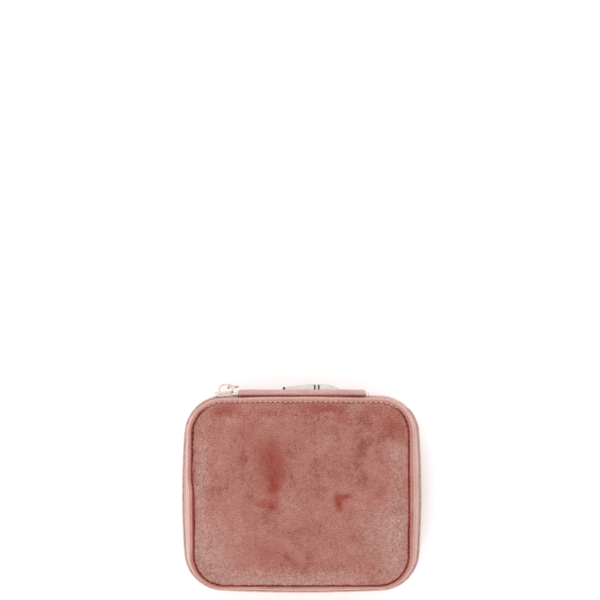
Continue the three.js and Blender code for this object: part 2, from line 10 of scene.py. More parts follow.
import bmesh
import bpy
import numpy as np
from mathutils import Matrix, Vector


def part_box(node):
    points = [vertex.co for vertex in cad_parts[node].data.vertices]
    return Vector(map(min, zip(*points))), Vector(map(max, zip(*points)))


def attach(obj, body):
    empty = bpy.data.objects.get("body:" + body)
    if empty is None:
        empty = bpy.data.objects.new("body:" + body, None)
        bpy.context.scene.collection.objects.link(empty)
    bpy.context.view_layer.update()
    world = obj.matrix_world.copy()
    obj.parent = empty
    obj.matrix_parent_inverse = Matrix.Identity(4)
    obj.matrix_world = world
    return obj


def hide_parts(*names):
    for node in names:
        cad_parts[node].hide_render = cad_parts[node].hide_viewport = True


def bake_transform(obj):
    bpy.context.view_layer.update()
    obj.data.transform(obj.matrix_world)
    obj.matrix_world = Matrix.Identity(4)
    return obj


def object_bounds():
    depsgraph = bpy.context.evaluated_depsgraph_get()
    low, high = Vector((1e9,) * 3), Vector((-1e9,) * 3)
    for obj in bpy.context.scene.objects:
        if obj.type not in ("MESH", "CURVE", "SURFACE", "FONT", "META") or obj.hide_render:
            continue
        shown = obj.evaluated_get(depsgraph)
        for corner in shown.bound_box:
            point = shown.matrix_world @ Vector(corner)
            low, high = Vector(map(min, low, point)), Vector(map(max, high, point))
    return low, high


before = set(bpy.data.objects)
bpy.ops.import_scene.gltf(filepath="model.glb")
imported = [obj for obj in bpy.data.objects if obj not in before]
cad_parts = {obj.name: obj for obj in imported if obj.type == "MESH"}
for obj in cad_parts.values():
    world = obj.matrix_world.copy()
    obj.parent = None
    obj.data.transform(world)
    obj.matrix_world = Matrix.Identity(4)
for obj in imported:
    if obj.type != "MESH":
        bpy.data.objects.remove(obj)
CAD_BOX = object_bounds()
MM = 0.001
LID, BASE = 1, -1


# ---- Sizes, from the frame ----


def box_mm(node):
    """The low and high corners of a CAD node's box, in millimetres."""
    low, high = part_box(node)
    return np.array(low) / MM, np.array(high) / MM


def half_size(node, grow=0.0):
    """How far a node reaches to the right and to the front of the case's middle, and a little more."""
    low, high = box_mm(node)
    return high[0] + grow, grow - low[1]


# Half width, half depth, corner radius and bow of the three outlines that shape the case.
EDGE = (*half_size("base_foam_pad", 0.5), 15.0, 0.1)
SEAM = (*half_size("base_side_band"), 17.5, 0.6)
MIDLINE = (*half_size("base_zip_coil"), 20.0, 1.0)
OUTLINES = np.array([EDGE, SEAM, MIDLINE])
REACHES = OUTLINES[:, 0] - EDGE[0]
SEAM_REACH, MIDLINE_REACH = REACHES[1:]

ZIP_Z = (box_mm("base_zip_coil")[1][2] + box_mm("lid_zip_coil")[0][2]) / 2
SEAM_RISE = ZIP_Z - box_mm("base_side_band")[1][2]
BOTTOM_RISE = ZIP_Z - box_mm("base_bottom_panel")[0][2]
TOP_RISE = box_mm("lid_top_panel")[1][2] - ZIP_Z
LINING_RISE = ZIP_Z - box_mm("base_lining_panel")[1][2]
BOARD_RISE = ZIP_Z - box_mm("base_wall_board")[0][2]
FOAM_RISE = ZIP_Z - box_mm("base_foam_pad")[0][2]

STITCH_PITCH = 2.5
THREAD = 0.2  # radius of the thick thread
COIL_PITCH = 1.2
COIL_WIRE = 0.28  # radius
COIL_DEPTH = 1.6
COIL_BACK = ZIP_Z - box_mm("base_zip_coil")[0][2]
HEAD_MESHED = -0.7  # rise of a loop's head where the rows mesh, and where the slider's post parts them
HEAD_PARTED = 0.34
# Where the slider's post stands at each end of its travel: x from and to, then y from and to.
POST_SPOTS = ((-37.8, -30.0, 45.0, 55.0), (-62.0, -50.0, 30.4, 33.9))


# ---- Points round the case ----


def outline_at(reach):
    """Half width, half depth, corner radius and bow of the outline at a reach."""
    beyond = min(reach, 0) + max(reach - MIDLINE_REACH, 0)
    width, depth, corner, bow = (np.interp(reach, REACHES, OUTLINES[:, i]) for i in range(4))
    return width + beyond, depth + beyond, max(corner + beyond, 2.0), bow


def around(reach, stations, inset=0.0):
    """(x, y) at each station of the outline at a reach, moved in by an inset: bowed sides and ends,
    and round corners."""
    width, depth, corner, bow = outline_at(reach)
    width, depth, corner = width - inset, depth - inset, corner - inset
    cx = width - corner - bow
    cy = depth - corner - bow
    spread = (corner + bow) ** 2 - corner**2
    side_radius = (spread + cy**2) / (2 * bow)
    end_radius = (spread + cx**2) / (2 * bow)
    side_angle = math.asin(cy / (side_radius - corner))
    end_angle = math.asin(cx / (end_radius - corner))
    turn = np.asarray(stations, float) % 12
    quarter = np.floor(turn / 3)
    local = turn - 3 * quarter
    local = np.where(quarter % 2 == 1, 3 - local, local)
    side = local * side_angle
    bend = side_angle + (math.pi / 2 - end_angle - side_angle) * (local - 1)
    end = (3 - local) * end_angle
    parts = [local <= 1, local >= 2]
    x = np.select(parts, [width - side_radius * (1 - np.cos(side)), end_radius * np.sin(end)],
                  cx + corner * np.cos(bend))
    y = np.select(parts, [side_radius * np.sin(side), depth - end_radius * (1 - np.cos(end))],
                  cy + corner * np.sin(bend))
    left = (quarter == 1) | (quarter == 2)
    return np.stack([np.where(left, -x, x), np.where(quarter > 1, -y, y)], axis=1)


def spaced(reach, pitch, start=0.0, stop=12.0):
    """Stations a pitch apart along the outline at a reach, and how far along it each one is."""
    fine = np.linspace(start, stop, 6001)
    steps = np.linalg.norm(np.diff(around(reach, fine), axis=0), axis=1)
    along = np.concatenate([[0], np.cumsum(steps)])
    marks = np.linspace(0, along[-1], max(2, round(along[-1] / pitch)) + 1)
    return np.interp(marks, along, fine), marks


def station_at_x(reach, x):
    """The station on the back right of the outline at a reach, at a given x."""
    fine = np.linspace(3, 0.5, 4001)
    return float(np.interp(x, around(reach, fine)[:, 0], fine))


# ---- Meshes ----


def linked(name, data):
    """A new object in the scene that shows the data."""
    made = bpy.data.objects.new(name, data)
    bpy.context.scene.collection.objects.link(made)
    return made


def make_object(name, points, faces, material, cloth=None):
    """A mesh object from points in millimetres. Its rest place, and its place on the cloth, are kept
    with each point, so that a pattern stays on it when it bends."""
    points = np.asarray(points, float).reshape(-1, 3)
    mesh = bpy.data.meshes.new(name)
    mesh.from_pydata((points * MM).tolist(), [], faces)
    work = bmesh.new()
    work.from_mesh(mesh)
    bmesh.ops.recalc_face_normals(work, faces=work.faces)
    work.to_mesh(mesh)
    work.free()
    mesh.polygons.foreach_set("use_smooth", [len(p.vertices) <= 4 for p in mesh.polygons])
    on_cloth = points[:, :2] if cloth is None else np.asarray(cloth, float).reshape(-1, 2)
    for label, values in (("rest", points), ("cloth", np.pad(on_cloth, ((0, 0), (0, 1))))):
        attribute = mesh.attributes.new(label, "FLOAT_VECTOR", "POINT")
        attribute.data.foreach_set("vector", values.astype(np.float32).ravel())
    mesh.materials.append(material)
    return linked(name, mesh)


def press(piece, amount):
    """Stores, from 0 to 1, how much painted shade each point takes where the cloth is drawn into a seam."""
    attribute = piece.data.attributes.new("seam", "FLOAT", "POINT")
    attribute.data.foreach_set("value", np.clip(amount, 0, 1).astype(np.float32).ravel())


def place(piece, body, slot, *nodes):
    """The piece rides on a body and stands for the CAD nodes; the slot is not used."""
    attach(piece, body)
    if nodes:
        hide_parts(*nodes)


def mesh_points(piece):
    points = np.empty(3 * len(piece.data.vertices), np.float32)
    piece.data.vertices.foreach_get("co", points)
    return points.reshape(-1, 3) / MM


def swell(piece, amount):
    """Moves each point along its normal by an amount in millimetres."""
    normals = np.empty(3 * len(piece.data.vertices), np.float32)
    piece.data.vertex_normals.foreach_get("vector", normals)
    points = mesh_points(piece) + normals.reshape(-1, 3) * np.asarray(amount)[:, None]
    piece.data.vertices.foreach_set("co", (points * MM).astype(np.float32).ravel())
    piece.data.update()


def waves(points, size, seed, count=14):
    """Smooth random values, mostly from -1 to 1, that vary over about the given size."""
    random = np.random.default_rng(seed)
    directions = random.normal(size=(count, 3))
    directions /= np.linalg.norm(directions, axis=1)[:, None]
    lengths = size * random.uniform(0.7, 1.8, count)
    phases = random.uniform(0, 2 * math.pi, count)
    values = np.sin(points @ (directions / lengths[:, None]).T * 2 * math.pi + phases)
    return values.sum(axis=1) / math.sqrt(count)


def rounded(points, radius, step, closed=True):
    """A path with its corners rounded off, as points at most a step apart."""
    points = [np.array(p, float) for p in points]
    path = []
    for i, corner in enumerate(points):
        if not closed and i in (0, len(points) - 1):
            path.append(corner)
            continue
        before = points[i - 1] - corner
        after = points[(i + 1) % len(points)] - corner
        cut = min(radius, 0.45 * np.linalg.norm(before), 0.45 * np.linalg.norm(after))
        start = corner + before / np.linalg.norm(before) * cut
        stop = corner + after / np.linalg.norm(after) * cut
        for t in np.linspace(0, 1, 6):
            path.append((1 - t) ** 2 * start + 2 * t * (1 - t) * corner + t**2 * stop)
    fine = []
    pairs = zip(path, path[1:] + path[:1]) if closed else zip(path, path[1:])
    for a, b in pairs:
        parts = max(1, math.ceil(np.linalg.norm(b - a) / step))
        fine += [a + (b - a) * k / parts for k in range(parts)]
    if not closed:
        fine.append(path[-1])
    return np.array(fine)


def grid_faces(rows, columns, rows_close=False, columns_close=False):
    """Quads between neighbouring rows and columns of points."""
    row = np.arange(rows if rows_close else rows - 1)
    column = np.arange(columns if columns_close else columns - 1)
    i, j = (g.ravel() for g in np.meshgrid(row, column, indexing="ij"))
    k, m = (i + 1) % rows, (j + 1) % columns
    return np.stack([i * columns + j, i * columns + m, k * columns + m, k * columns + j], axis=1).tolist()


def end_caps(rows, columns):
    """The faces that close the first and the last row of a grid."""
    return [list(range(columns)), list(range((rows - 1) * columns, rows * columns))]


def sweep(section, side, reach, pitch, start=None, stop=None):
    """A closed section of (reach, rise) or (reach, rise, inset) points, swept round the case or from
    one station to another."""
    whole = start is None
    section = np.asarray(section, float)
    section = np.pad(section, ((0, 0), (0, 3 - section.shape[1])))
    stations, along = spaced(reach, pitch, *((0.0, 12.0) if whole else (start, stop)))
    if whole:
        stations, along = stations[:-1], along[:-1]
    points = np.empty((len(stations), len(section), 3))
    for j, (out, rise, inset) in enumerate(section):
        points[:, j, :2] = around(out, stations, inset)
        points[:, j, 2] = ZIP_Z + side * rise
    lengths = np.linalg.norm(np.diff(section, axis=0), axis=1)
    across = np.concatenate([[0], np.cumsum(lengths)])
    cloth = np.stack(np.meshgrid(along, across, indexing="ij"), axis=2)
    faces = grid_faces(len(stations), len(section), rows_close=whole, columns_close=True)
    if not whole:
        faces += end_caps(len(stations), len(section))
    return points, faces, cloth


def slab(outline, rim, rings=10):
    """A flat closed piece. outline gives its points at a reach, and rim is the path of (reach, z) from
    its lower face, round its edge, to its upper face. Rings close both faces in towards the middle."""
    rows = []
    for share in np.linspace(0, 1, rings + 1)[1:-1]:
        rows.append(np.column_stack([outline(rim[0][0]) * share, np.full(len(outline(0)), rim[0][1])]))
    for reach, z in rim:
        rows.append(np.column_stack([outline(reach), np.full(len(outline(0)), z)]))
    for share in np.linspace(1, 0, rings + 1)[1:-1]:
        rows.append(np.column_stack([outline(rim[-1][0]) * share, np.full(len(outline(0)), rim[-1][1])]))
    points = np.array(rows)
    count, columns = points.shape[:2]
    middles = [points[0].mean(axis=0), points[-1].mean(axis=0)]
    faces = grid_faces(count, columns, columns_close=True)
    low, high = count * columns, count * columns + 1
    for j in range(columns):
        k = (j + 1) % columns
        faces += [[low, k, j], [high, (count - 1) * columns + j, (count - 1) * columns + k]]
    return np.concatenate([points.reshape(-1, 3), middles]), faces


def tube(path, radii, sides=8, closed=False):
    """Points and faces of a round tube along a path."""
    path = np.asarray(path, float)
    radii = np.broadcast_to(radii, len(path))
    if closed:
        tangents = np.roll(path, -1, axis=0) - np.roll(path, 1, axis=0)
    else:
        tangents = np.gradient(path, axis=0)
    tangents /= np.linalg.norm(tangents, axis=1)[:, None]
    normal = np.cross(tangents[0], [0.577, 0.577, 0.577])
    if np.linalg.norm(normal) < 0.3:
        normal = np.cross(tangents[0], [0, 0, 1])
    angles = np.arange(sides) * 2 * math.pi / sides
    points = []
    for centre, tangent, radius in zip(path, tangents, radii):
        normal = normal - tangent * (normal @ tangent)
        normal /= np.linalg.norm(normal)
        other = np.cross(tangent, normal)
        ring = np.outer(np.cos(angles), normal) + np.outer(np.sin(angles), other)
        points.append(centre + radius * ring)
    faces = grid_faces(len(path), sides, rows_close=closed, columns_close=True)
    if not closed:
        faces += end_caps(len(path), sides)
    return np.concatenate(points), faces


def stitch(half_length, top, dip, radius, thin=0.0, count=7, sides=7):
    """One stitch along x. Its middle is at a height, and its ends dip from there and may thin out."""
    reach = np.linspace(-1, 1, count)
    line = np.column_stack([reach * half_length, 0 * reach, top - dip * reach**4])
    return tube(line, radius * (1 - thin * reach**4), sides=sides)


def repeated(shape, origins, axes):
    """Copies of a small shape, one at each origin, with its x, y and z along that copy's axes."""
    points, faces = shape
    placed = origins[:, None, :] + np.einsum("mk,nkj->nmj", points, axes)
    copies = [[v + len(points) * i for v in face] for i in range(len(origins)) for face in faces]
    return placed.reshape(-1, 3), copies


def joined(*shapes):
    """Several (points, faces) shapes as one."""
    points, faces, offset = [], [], 0
    for some, sides in shapes:
        points.append(np.asarray(some).reshape(-1, 3))
        faces += [[v + offset for v in face] for face in sides]
        offset += len(points[-1])
    return np.concatenate(points), faces


def axes_along(path_points, up):
    """For each inner point of a path, the directions along it, across it and up."""
    along = path_points[2:] - path_points[:-2]
    along /= np.linalg.norm(along, axis=1)[:, None]
    up = np.broadcast_to(np.asarray(up, float), along.shape)
    across = np.cross(up, along)
    across /= np.linalg.norm(across, axis=1)[:, None]
    return np.stack([along, across, np.cross(along, across)], axis=1)


# ---- Materials ----


def rgb(code):
    """A colour given as six hexadecimal digits, made linear."""
    parts = [int(code[i : i + 2], 16) / 255 for i in (0, 2, 4)]
    return [p / 12.92 if p <= 0.04045 else ((p + 0.055) / 1.055) ** 2.4 for p in parts] + [1.0]


class Graph:
    """The nodes of a material, or of the world, that lead to its shader."""

    def __init__(self, name, owner=None, shader="Principled BSDF"):
        self.owner = owner or bpy.data.materials.new(name)
        self.owner.use_nodes = True
        self.tree = self.owner.node_tree
        self.shader = self.tree.nodes[shader]

    def feed(self, socket, value):
        if isinstance(value, bpy.types.NodeSocket):
            self.tree.links.new(value, socket)
        else:
            socket.default_value = value

    def node(self, kind, inputs=None, **settings):
        made = self.tree.nodes.new(kind)
        for key, value in settings.items():
            setattr(made, key, value)
        for key, value in (inputs or {}).items():
            self.feed(made.inputs[key], value)
        return made

    def place(self, attribute="rest"):
        return self.node("ShaderNodeAttribute", attribute_name=attribute).outputs["Vector"]

    def own_place(self):
        """For a CAD node, which has no stored places: its own coordinates, made millimetres."""
        own = self.node("ShaderNodeTexCoord").outputs["Object"]
        return self.scaled(own, (1000, 1000, 1000))

    def separate(self, vector):
        return self.node("ShaderNodeSeparateXYZ", {0: vector}).outputs

    def vector(self, operation, *values):
        return self.node("ShaderNodeVectorMath", dict(enumerate(values)), operation=operation).outputs[0]

    def scaled(self, vector, scale):
        return self.vector("MULTIPLY", vector, scale)

    def math(self, operation, a, b=0.0, clamp=False):
        return self.node("ShaderNodeMath", {0: a, 1: b}, operation=operation, use_clamp=clamp).outputs[0]

    def product(self, a, b):
        return self.math("MULTIPLY", a, b)

    def total(self, a, b):
        return self.math("ADD", a, b)

    def wave(self, value, length, lead=None):
        """A sine of a value in millimetres, one wave a length long, moved on by a lead if one is given."""
        phase = self.product(value, 2 * math.pi / length)
        return self.math("SINE", phase if lead is None else self.total(phase, lead))

    def noise(self, vector, size, detail=3.0, distortion=0.0, roughness=0.55):
        """Noise whose features are about a size across, in the vector's own unit."""
        inputs = {"Vector": vector, "Scale": 1 / size, "Detail": detail, "Distortion": distortion,
                  "Roughness": roughness}
        return self.node("ShaderNodeTexNoise", inputs).outputs["Fac"]

    def between(self, value, low, high, new_low=0.0, new_high=1.0):
        inputs = {"Value": value, "From Min": low, "From Max": high, "To Min": new_low, "To Max": new_high}
        return self.node("ShaderNodeMapRange", inputs, interpolation_type="SMOOTHSTEP").outputs[0]

    def mix(self, factor, a, b, blend="MIX"):
        made = self.node("ShaderNodeMix", data_type="RGBA", blend_type=blend, clamp_factor=True)
        self.feed(made.inputs["Factor"], factor)
        self.feed(made.inputs[6], a)
        self.feed(made.inputs[7], b)
        return made.outputs[2]

    def fade(self, a, b, value, low, high, most=1.0):
        """From colour a, where the value is low, towards colour b, where it is high."""
        return self.mix(self.between(value, low, high, 0.0, most), a, b)

    def bump(self, height, depth, normal=None):
        """depth is the height's full range in millimetres."""
        inputs = {"Height": height, "Distance": depth * MM, "Strength": 1.0}
        if normal is not None:
            inputs["Normal"] = normal
        return self.node("ShaderNodeBump", inputs).outputs[0]

    def finish(self, **sockets):
        for key, value in sockets.items():
            self.feed(self.shader.inputs[key.replace("_", " ")], value)
        return self.owner

    def surface(self, colour, gloss, relief, **sockets):
        """gloss is a noise, and the roughness at its low and its high; relief is a height and its depth."""
        noise, smooth, rough = gloss
        roughness = self.between(noise, 0.3, 0.7, smooth, rough)
        return self.finish(Base_Color=colour, Roughness=roughness, Normal=self.bump(*relief), **sockets)


# A brushed mark in the nap: its place on the lid, half length and half width, direction in degrees,
# and how strong it is.
DARK_MARKS = (
    (-14.8, 16.0, 14.5, 9.5, 95, 0.95),
    (-13.6, 3.0, 10.5, 4.6, 86, 0.7),
    (-14.6, -6.2, 5.6, 3.4, 160, 0.75),
    (-21.0, -4.2, 5.0, 2.4, 172, 0.5),
    (21.0, -1.2, 5.8, 2.6, 8, 1.0),
    (18.4, -4.4, 5.8, 3.0, 105, 0.95),
    (-37.0, 42.0, 10.5, 4.0, 4, 0.75),
    (-16.0, 41.0, 8.0, 3.0, 0, 0.45),
    (-24.5, 32.0, 8.0, 3.2, 70, 0.35),
    (12.5, 43.0, 16.0, 3.2, 0, 0.75),
    (19.8, 38.2, 4.4, 4.2, 90, 0.6),
    (45.0, 34.0, 12.5, 7.0, 125, 0.5),
    (33.0, 40.5, 8.0, 3.4, 20, 0.4),
    (-17.5, -30.0, 10.0, 9.0, 40, 0.3),
    (5.5, -16.5, 7.0, 4.0, 20, 0.3),
    (47.8, -7.2, 3.8, 3.4, 60, 0.4),
    (38.4, 0.0, 5.0, 4.2, 60, 0.3),
    (-46.0, 0.5, 4.5, 6.0, 90, 0.25),
)
# Patches of painted sheen, mostly where the crowned lid rolls over towards its edges and catches light.
# Same columns as the dark marks.
PAINTED_SHEEN_MARKS = (
    (-45.0, -31.0, 14.0, 17.0, 20, 0.9),
    (-49.5, 6.0, 40.0, 5.0, 90, 0.8),
    (-5.0, -43.0, 50.0, 6.5, 0, 0.95),
    (42.0, -17.0, 18.0, 15.0, 30, 0.75),
    (48.0, -10.0, 24.0, 6.0, 90, 0.7),
    (46.5, -35.0, 11.0, 12.0, 10, 0.75),
    (47.0, 19.5, 8.0, 10.0, 10, 0.7),
    (11.5, 24.0, 9.0, 4.0, 60, 0.45),
    (-4.0, -4.0, 12.0, 8.0, 40, 0.35),
    (26.0, 43.5, 7.0, 5.0, 60, 0.55),
    (-30.0, 44.0, 5.0, 2.5, 0, 0.5),
)


def patches(graph, place, marks):
    """How much each point of the lid lies in one of the marks, from 0 to 1."""
    wander = graph.node("ShaderNodeTexNoise", {"Vector": place, "Scale": 0.25, "Detail": 4.0})
    shift = graph.vector("SUBTRACT", wander.outputs["Color"], (0.5, 0.5, 0.5))
    place = graph.vector("MULTIPLY_ADD", shift, (6, 6, 0), place)
    total = 0.0
    for x, y, length, width, angle, strength in marks:
        mark = graph.node("ShaderNodeMapping", {
            "Vector": place,
            "Location": (x, y, 0),
            "Rotation": (0, 0, math.radians(angle)),
            "Scale": (length, width, 1000),
        }, vector_type="TEXTURE").outputs[0]
        distance = graph.node("ShaderNodeVectorMath", {0: mark}, operation="LENGTH").outputs["Value"]
        total = graph.math("ADD", graph.between(distance, 0.0, 1.3, strength, 0.0), total, clamp=True)
    return total


def nap_marks_and_painted_sheen(graph, place, colour, clumps, brushed):
    """The lid's nap is crushed dark here and there; painted sheen pales it in patches, mostly near its
    edges.
    """
    rough = graph.between(clumps, 0.3, 0.7, 0.7, 1.15)
    # Painted sheen: the colour turns pale in these patches.
    painted_sheen = graph.product(patches(graph, place, PAINTED_SHEEN_MARKS), rough)
    colour = graph.mix(graph.product(painted_sheen, 0.8), colour, LID_PAINTED_SHEEN)
    crushed = graph.product(patches(graph, place, DARK_MARKS), rough)
    crushed = graph.product(crushed, graph.between(brushed, 0.25, 0.6, 0.62, 1.05))
    return graph.mix(crushed, colour, LID_DARK)


def velvet(name, tones, marked=False, pile=0.3, shadow="d2cac8", sheen=0.9):
    """Short-pile velvet: the nap lies this way and that, so its colour drifts, and the pile's tips
    catch light wherever the cloth turns away. Where a seam draws it into a groove, painted shade
    turns it deep red and weakens its sheen."""
    graph = Graph(name)
    place = graph.place()
    deep, plain, pale = tones
    drift = graph.noise(place, 21, detail=4, distortion=0.7)
    brushed = graph.noise(graph.scaled(place, (1, 0.6, 1)), 5.5, detail=5, distortion=0.4)
    tips = graph.noise(place, pile, detail=2, roughness=0.8)
    clumps = graph.noise(place, pile * 4, detail=3, roughness=0.7)
    speckle = graph.total(graph.product(tips, 0.84), graph.product(clumps, 0.16))
    tone = graph.total(graph.product(drift, 0.6), graph.product(brushed, 0.4))
    tone = graph.total(tone, graph.product(graph.math("SUBTRACT", clumps, 0.5), 0.22))
    colour = graph.fade(deep, plain, tone, 0.3, 0.52)
    colour = graph.fade(colour, pale, tone, 0.5, 0.72)
    if marked:
        colour = nap_marks_and_painted_sheen(graph, place, colour, clumps, brushed)
    # Painted shade: where the seam attribute is high, in grooves and along sewn edges, the colour turns
    # deep red and the sheen weakens.
    pressed = graph.node("ShaderNodeAttribute", attribute_name="seam").outputs["Fac"]
    colour = graph.mix(graph.product(pressed, 0.85), colour, SEAM_SHADE_RED)
    grain = graph.fade(rgb(shadow), rgb("ffffff"), speckle, 0.3, 0.7)
    colour = graph.mix(1.0, colour, grain, blend="MULTIPLY")
    normal = graph.bump(graph.total(tips, graph.product(clumps, 0.5)), 0.2)
    lustre = graph.between(pressed, 0.05, 0.75, sheen, 0.08)
    roughness = graph.between(tips, 0.2, 0.8, 0.78, 0.96)
    return graph.finish(Base_Color=colour, Roughness=roughness, Normal=graph.bump(brushed, 0.3, normal),
                        Sheen_Weight=lustre, Sheen_Roughness=0.36, Sheen_Tint=rgb("f3d2c9"),
                        Specular_IOR_Level=0.12)


def woven_tape(name, colour, shade, rib=0.62):
    """Zip tape: fine ribs along its length crossed by the weft."""
    graph = Graph(name)
    along, across, _ = graph.separate(graph.place("cloth"))
    row = graph.math("FLOOR", graph.math("DIVIDE", across, rib))
    warp = graph.wave(across, rib)
    weft = graph.wave(along, 0.8 * rib, lead=graph.product(row, 2.1))
    weave = graph.total(graph.product(graph.total(warp, weft), 0.25), 0.5)
    fuzz = graph.noise(graph.place(), 0.5, detail=2)
    stain = graph.noise(graph.place(), 12, detail=3)
    tone = graph.fade(shade, colour, weave, 0.1, 0.7)
    tone = graph.fade(tone, shade, stain, 0.35, 0.65, 0.35)
    height = graph.total(weave, graph.product(fuzz, 0.35))
    return graph.surface(tone, (fuzz, 0.7, 0.85), (height, 0.14),
                         Sheen_Weight=0.35, Sheen_Roughness=0.5, Specular_IOR_Level=0.2)


def nylon(name, colour, shade):
    """Moulded nylon of the zip's coil, a little worn and dusty between its loops."""
    graph = Graph(name)
    place = graph.place()
    worn = graph.noise(place, 2.2, detail=4)
    fine = graph.noise(place, 0.22, detail=2)
    tone = graph.fade(shade, colour, worn, 0.35, 0.68)
    return graph.surface(tone, (worn, 0.36, 0.52), (fine, 0.03), Coat_Weight=0.15, Coat_Roughness=0.3)


def thread(name, colour, shade):
    """Twisted sewing thread."""
    graph = Graph(name)
    place = graph.place()
    twist = graph.noise(place, 0.25, detail=2)
    tone = graph.fade(shade, colour, graph.noise(place, 6), 0.35, 0.65)
    tone = graph.fade(tone, shade, twist, 0.35, 0.65, 0.5)
    return graph.surface(tone, (twist, 0.5, 0.75), (twist, 0.06))


def edge_thread(name, colour, shade, painted_sheen):
    """The thread of the stitched edge, with a painted highlight in patches along the back edge."""
    graph = Graph(name)
    place = graph.place()
    _, y, _ = graph.separate(place)
    twist = graph.noise(place, 0.3, detail=2)
    tone = graph.fade(shade, colour, graph.noise(place, 5), 0.35, 0.65)
    # Painted highlight: towards the back edge the thread turns pale, in random patches.
    worn = graph.between(graph.noise(place, 3), 0.3, 0.5, 0.4, 1.0)
    tone = graph.mix(graph.product(graph.between(y, 41.0, 45.0), worn), tone, painted_sheen)
    return graph.surface(tone, (twist, 0.5, 0.75), (twist, 0.06), Sheen_Weight=0.3)


def satin(name, colour, shade, bars):
    """Woven satin ribbon with plain bars woven in near its outer edge."""
    graph = Graph(name)
    place = graph.place()
    along, across, _ = graph.separate(graph.place("cloth"))
    weft = graph.product(graph.wave(across, 0.24), 0.35)
    warp = graph.product(graph.wave(along, 0.3), 0.15)
    weave = graph.total(graph.total(weft, warp), 0.5)
    slub = graph.noise(graph.scaled(place, (0.35, 1, 1)), 1.2, detail=3)
    tone = graph.fade(shade, colour, slub, 0.3, 0.7)
    x, y, _ = graph.separate(place)
    for middle, half_width, low, high in bars:
        off = graph.math("ABSOLUTE", graph.math("SUBTRACT", x, middle))
        inside = graph.math("LESS_THAN", off, half_width)
        inside = graph.product(inside, graph.math("GREATER_THAN", y, low))
        inside = graph.product(inside, graph.math("LESS_THAN", y, high))
        tone = graph.mix(inside, tone, rgb("191717"))
    return graph.surface(tone, (slub, 0.36, 0.5), (weave, 0.05), Sheen_Weight=0.25, Anisotropic=0.5)


def plated_metal(name, colour, shade, own=False):
    """Polished plating with faint scratches and finger marks."""
    graph = Graph(name)
    place = graph.own_place() if own else graph.place()
    smear = graph.noise(place, 3.5, detail=4)
    scratch = graph.noise(graph.scaled(place, (0.6, 0.6, 9)), 0.9, detail=3)
    tone = graph.fade(shade, colour, smear, 0.35, 0.65)
    return graph.surface(tone, (smear, 0.1, 0.24), (scratch, 0.012), Metallic=1.0)


def soft_leather(name, colour, shade):
    """Fine-grained synthetic leather."""
    graph = Graph(name)
    place = graph.place()
    cells = graph.node("ShaderNodeTexVoronoi", {"Vector": place, "Scale": 1.6}, feature="DISTANCE_TO_EDGE")
    grain = cells.outputs[0]
    drift = graph.noise(place, 6, detail=4)
    pores = graph.noise(place, 0.3, detail=2)
    tone = graph.fade(shade, colour, grain, 0.0, 0.14)
    tone = graph.fade(tone, shade, drift, 0.35, 0.7, 0.45)
    height = graph.total(graph.between(grain, 0.0, 0.16), graph.product(pores, 0.4))
    return graph.surface(tone, (drift, 0.42, 0.6), (height, 0.09), Coat_Weight=0.08)


def pulp_board(name):
    """Grey board pressed from pulp, with short fibres in it."""
    graph = Graph(name)
    place = graph.own_place()
    fibre = graph.noise(graph.scaled(place, (0.5, 1, 2)), 0.8, detail=5, distortion=1.2)
    cloud = graph.noise(place, 9, detail=3)
    tone = graph.fade(rgb("9a8a76"), rgb("c2b39c"), fibre, 0.35, 0.65)
    tone = graph.fade(tone, rgb("8f7f6b"), cloud, 0.3, 0.7, 0.3)
    return graph.surface(tone, (fibre, 0.8, 0.95), (fibre, 0.1))


def soft_foam(name):
    """Open-cell padding."""
    graph = Graph(name)
    place = graph.own_place()
    cells = graph.node("ShaderNodeTexVoronoi", {"Vector": place, "Scale": 1.4}).outputs["Distance"]
    cloud = graph.noise(place, 8, detail=3)
    tone = graph.fade(rgb("efece4"), rgb("cfcabd"), cells, 0.1, 0.6)
    tone = graph.fade(tone, rgb("e0d8c4"), cloud, 0.3, 0.7, 0.3)
    roughness = graph.between(cells, 0.1, 0.7, 0.85, 0.97)
    return graph.finish(Base_Color=tone, Roughness=roughness, Normal=graph.bump(cells, 0.25))


VELVET_TONES = (rgb("95594f"), rgb("ad756a"), rgb("b9857d"))
# Painted sheen: the spine's tones are paler than the lid's, for velvet turned away at the back.
SPINE_TONES_PAINTED_SHEEN = (rgb("b1887f"), rgb("c3a098"), rgb("ceaea6"))
LINING_TONES = (rgb("a8766b"), rgb("bb8e83"), rgb("c7a096"))
# Painted sheen: the side band's tones are paler than the lid's, for velvet seen at a slant.
BAND_TONES_PAINTED_SHEEN = (rgb("a66b61"), rgb("bd857b"), rgb("ca998f"))
LID_DARK = rgb("933f33")
# Painted sheen: the pale tone of the lid's sheen patches.
LID_PAINTED_SHEEN = rgb("b9958b")
# Painted shade: the deep red of velvet drawn into a seam's groove.
SEAM_SHADE_RED = rgb("9a3a2c")
LABEL_BARS = ((-8.9, 0.55, 50.4, 53.0), (6.5, 0.45, 51.0, 53.9), (8.5, 0.45, 51.0, 53.9))

LID_VELVET = velvet("lid_velvet", VELVET_TONES, marked=True, pile=0.5, shadow="a89c99")
VELVET = velvet("velvet", VELVET_TONES)
BAND_VELVET_PAINTED_SHEEN = velvet("band_velvet_painted_sheen", BAND_TONES_PAINTED_SHEEN, sheen=1.0)
SPINE_VELVET_PAINTED_SHEEN = velvet("spine_velvet_painted_sheen", SPINE_TONES_PAINTED_SHEEN)
LINING = velvet("lining_velvet", LINING_TONES, pile=0.26, sheen=0.6)
TAPE = woven_tape("zip_tape_weave", rgb("ddbcb4"), rgb("c0948a"))
ELASTIC = woven_tape("elastic_weave", rgb("cda196"), rgb("a8756a"), rib=0.9)
COIL = nylon("coil_nylon", rgb("e6cdc7"), rgb("c9a399"))
CORE = thread("coil_core", rgb("cfa89f"), rgb("a87f75"))
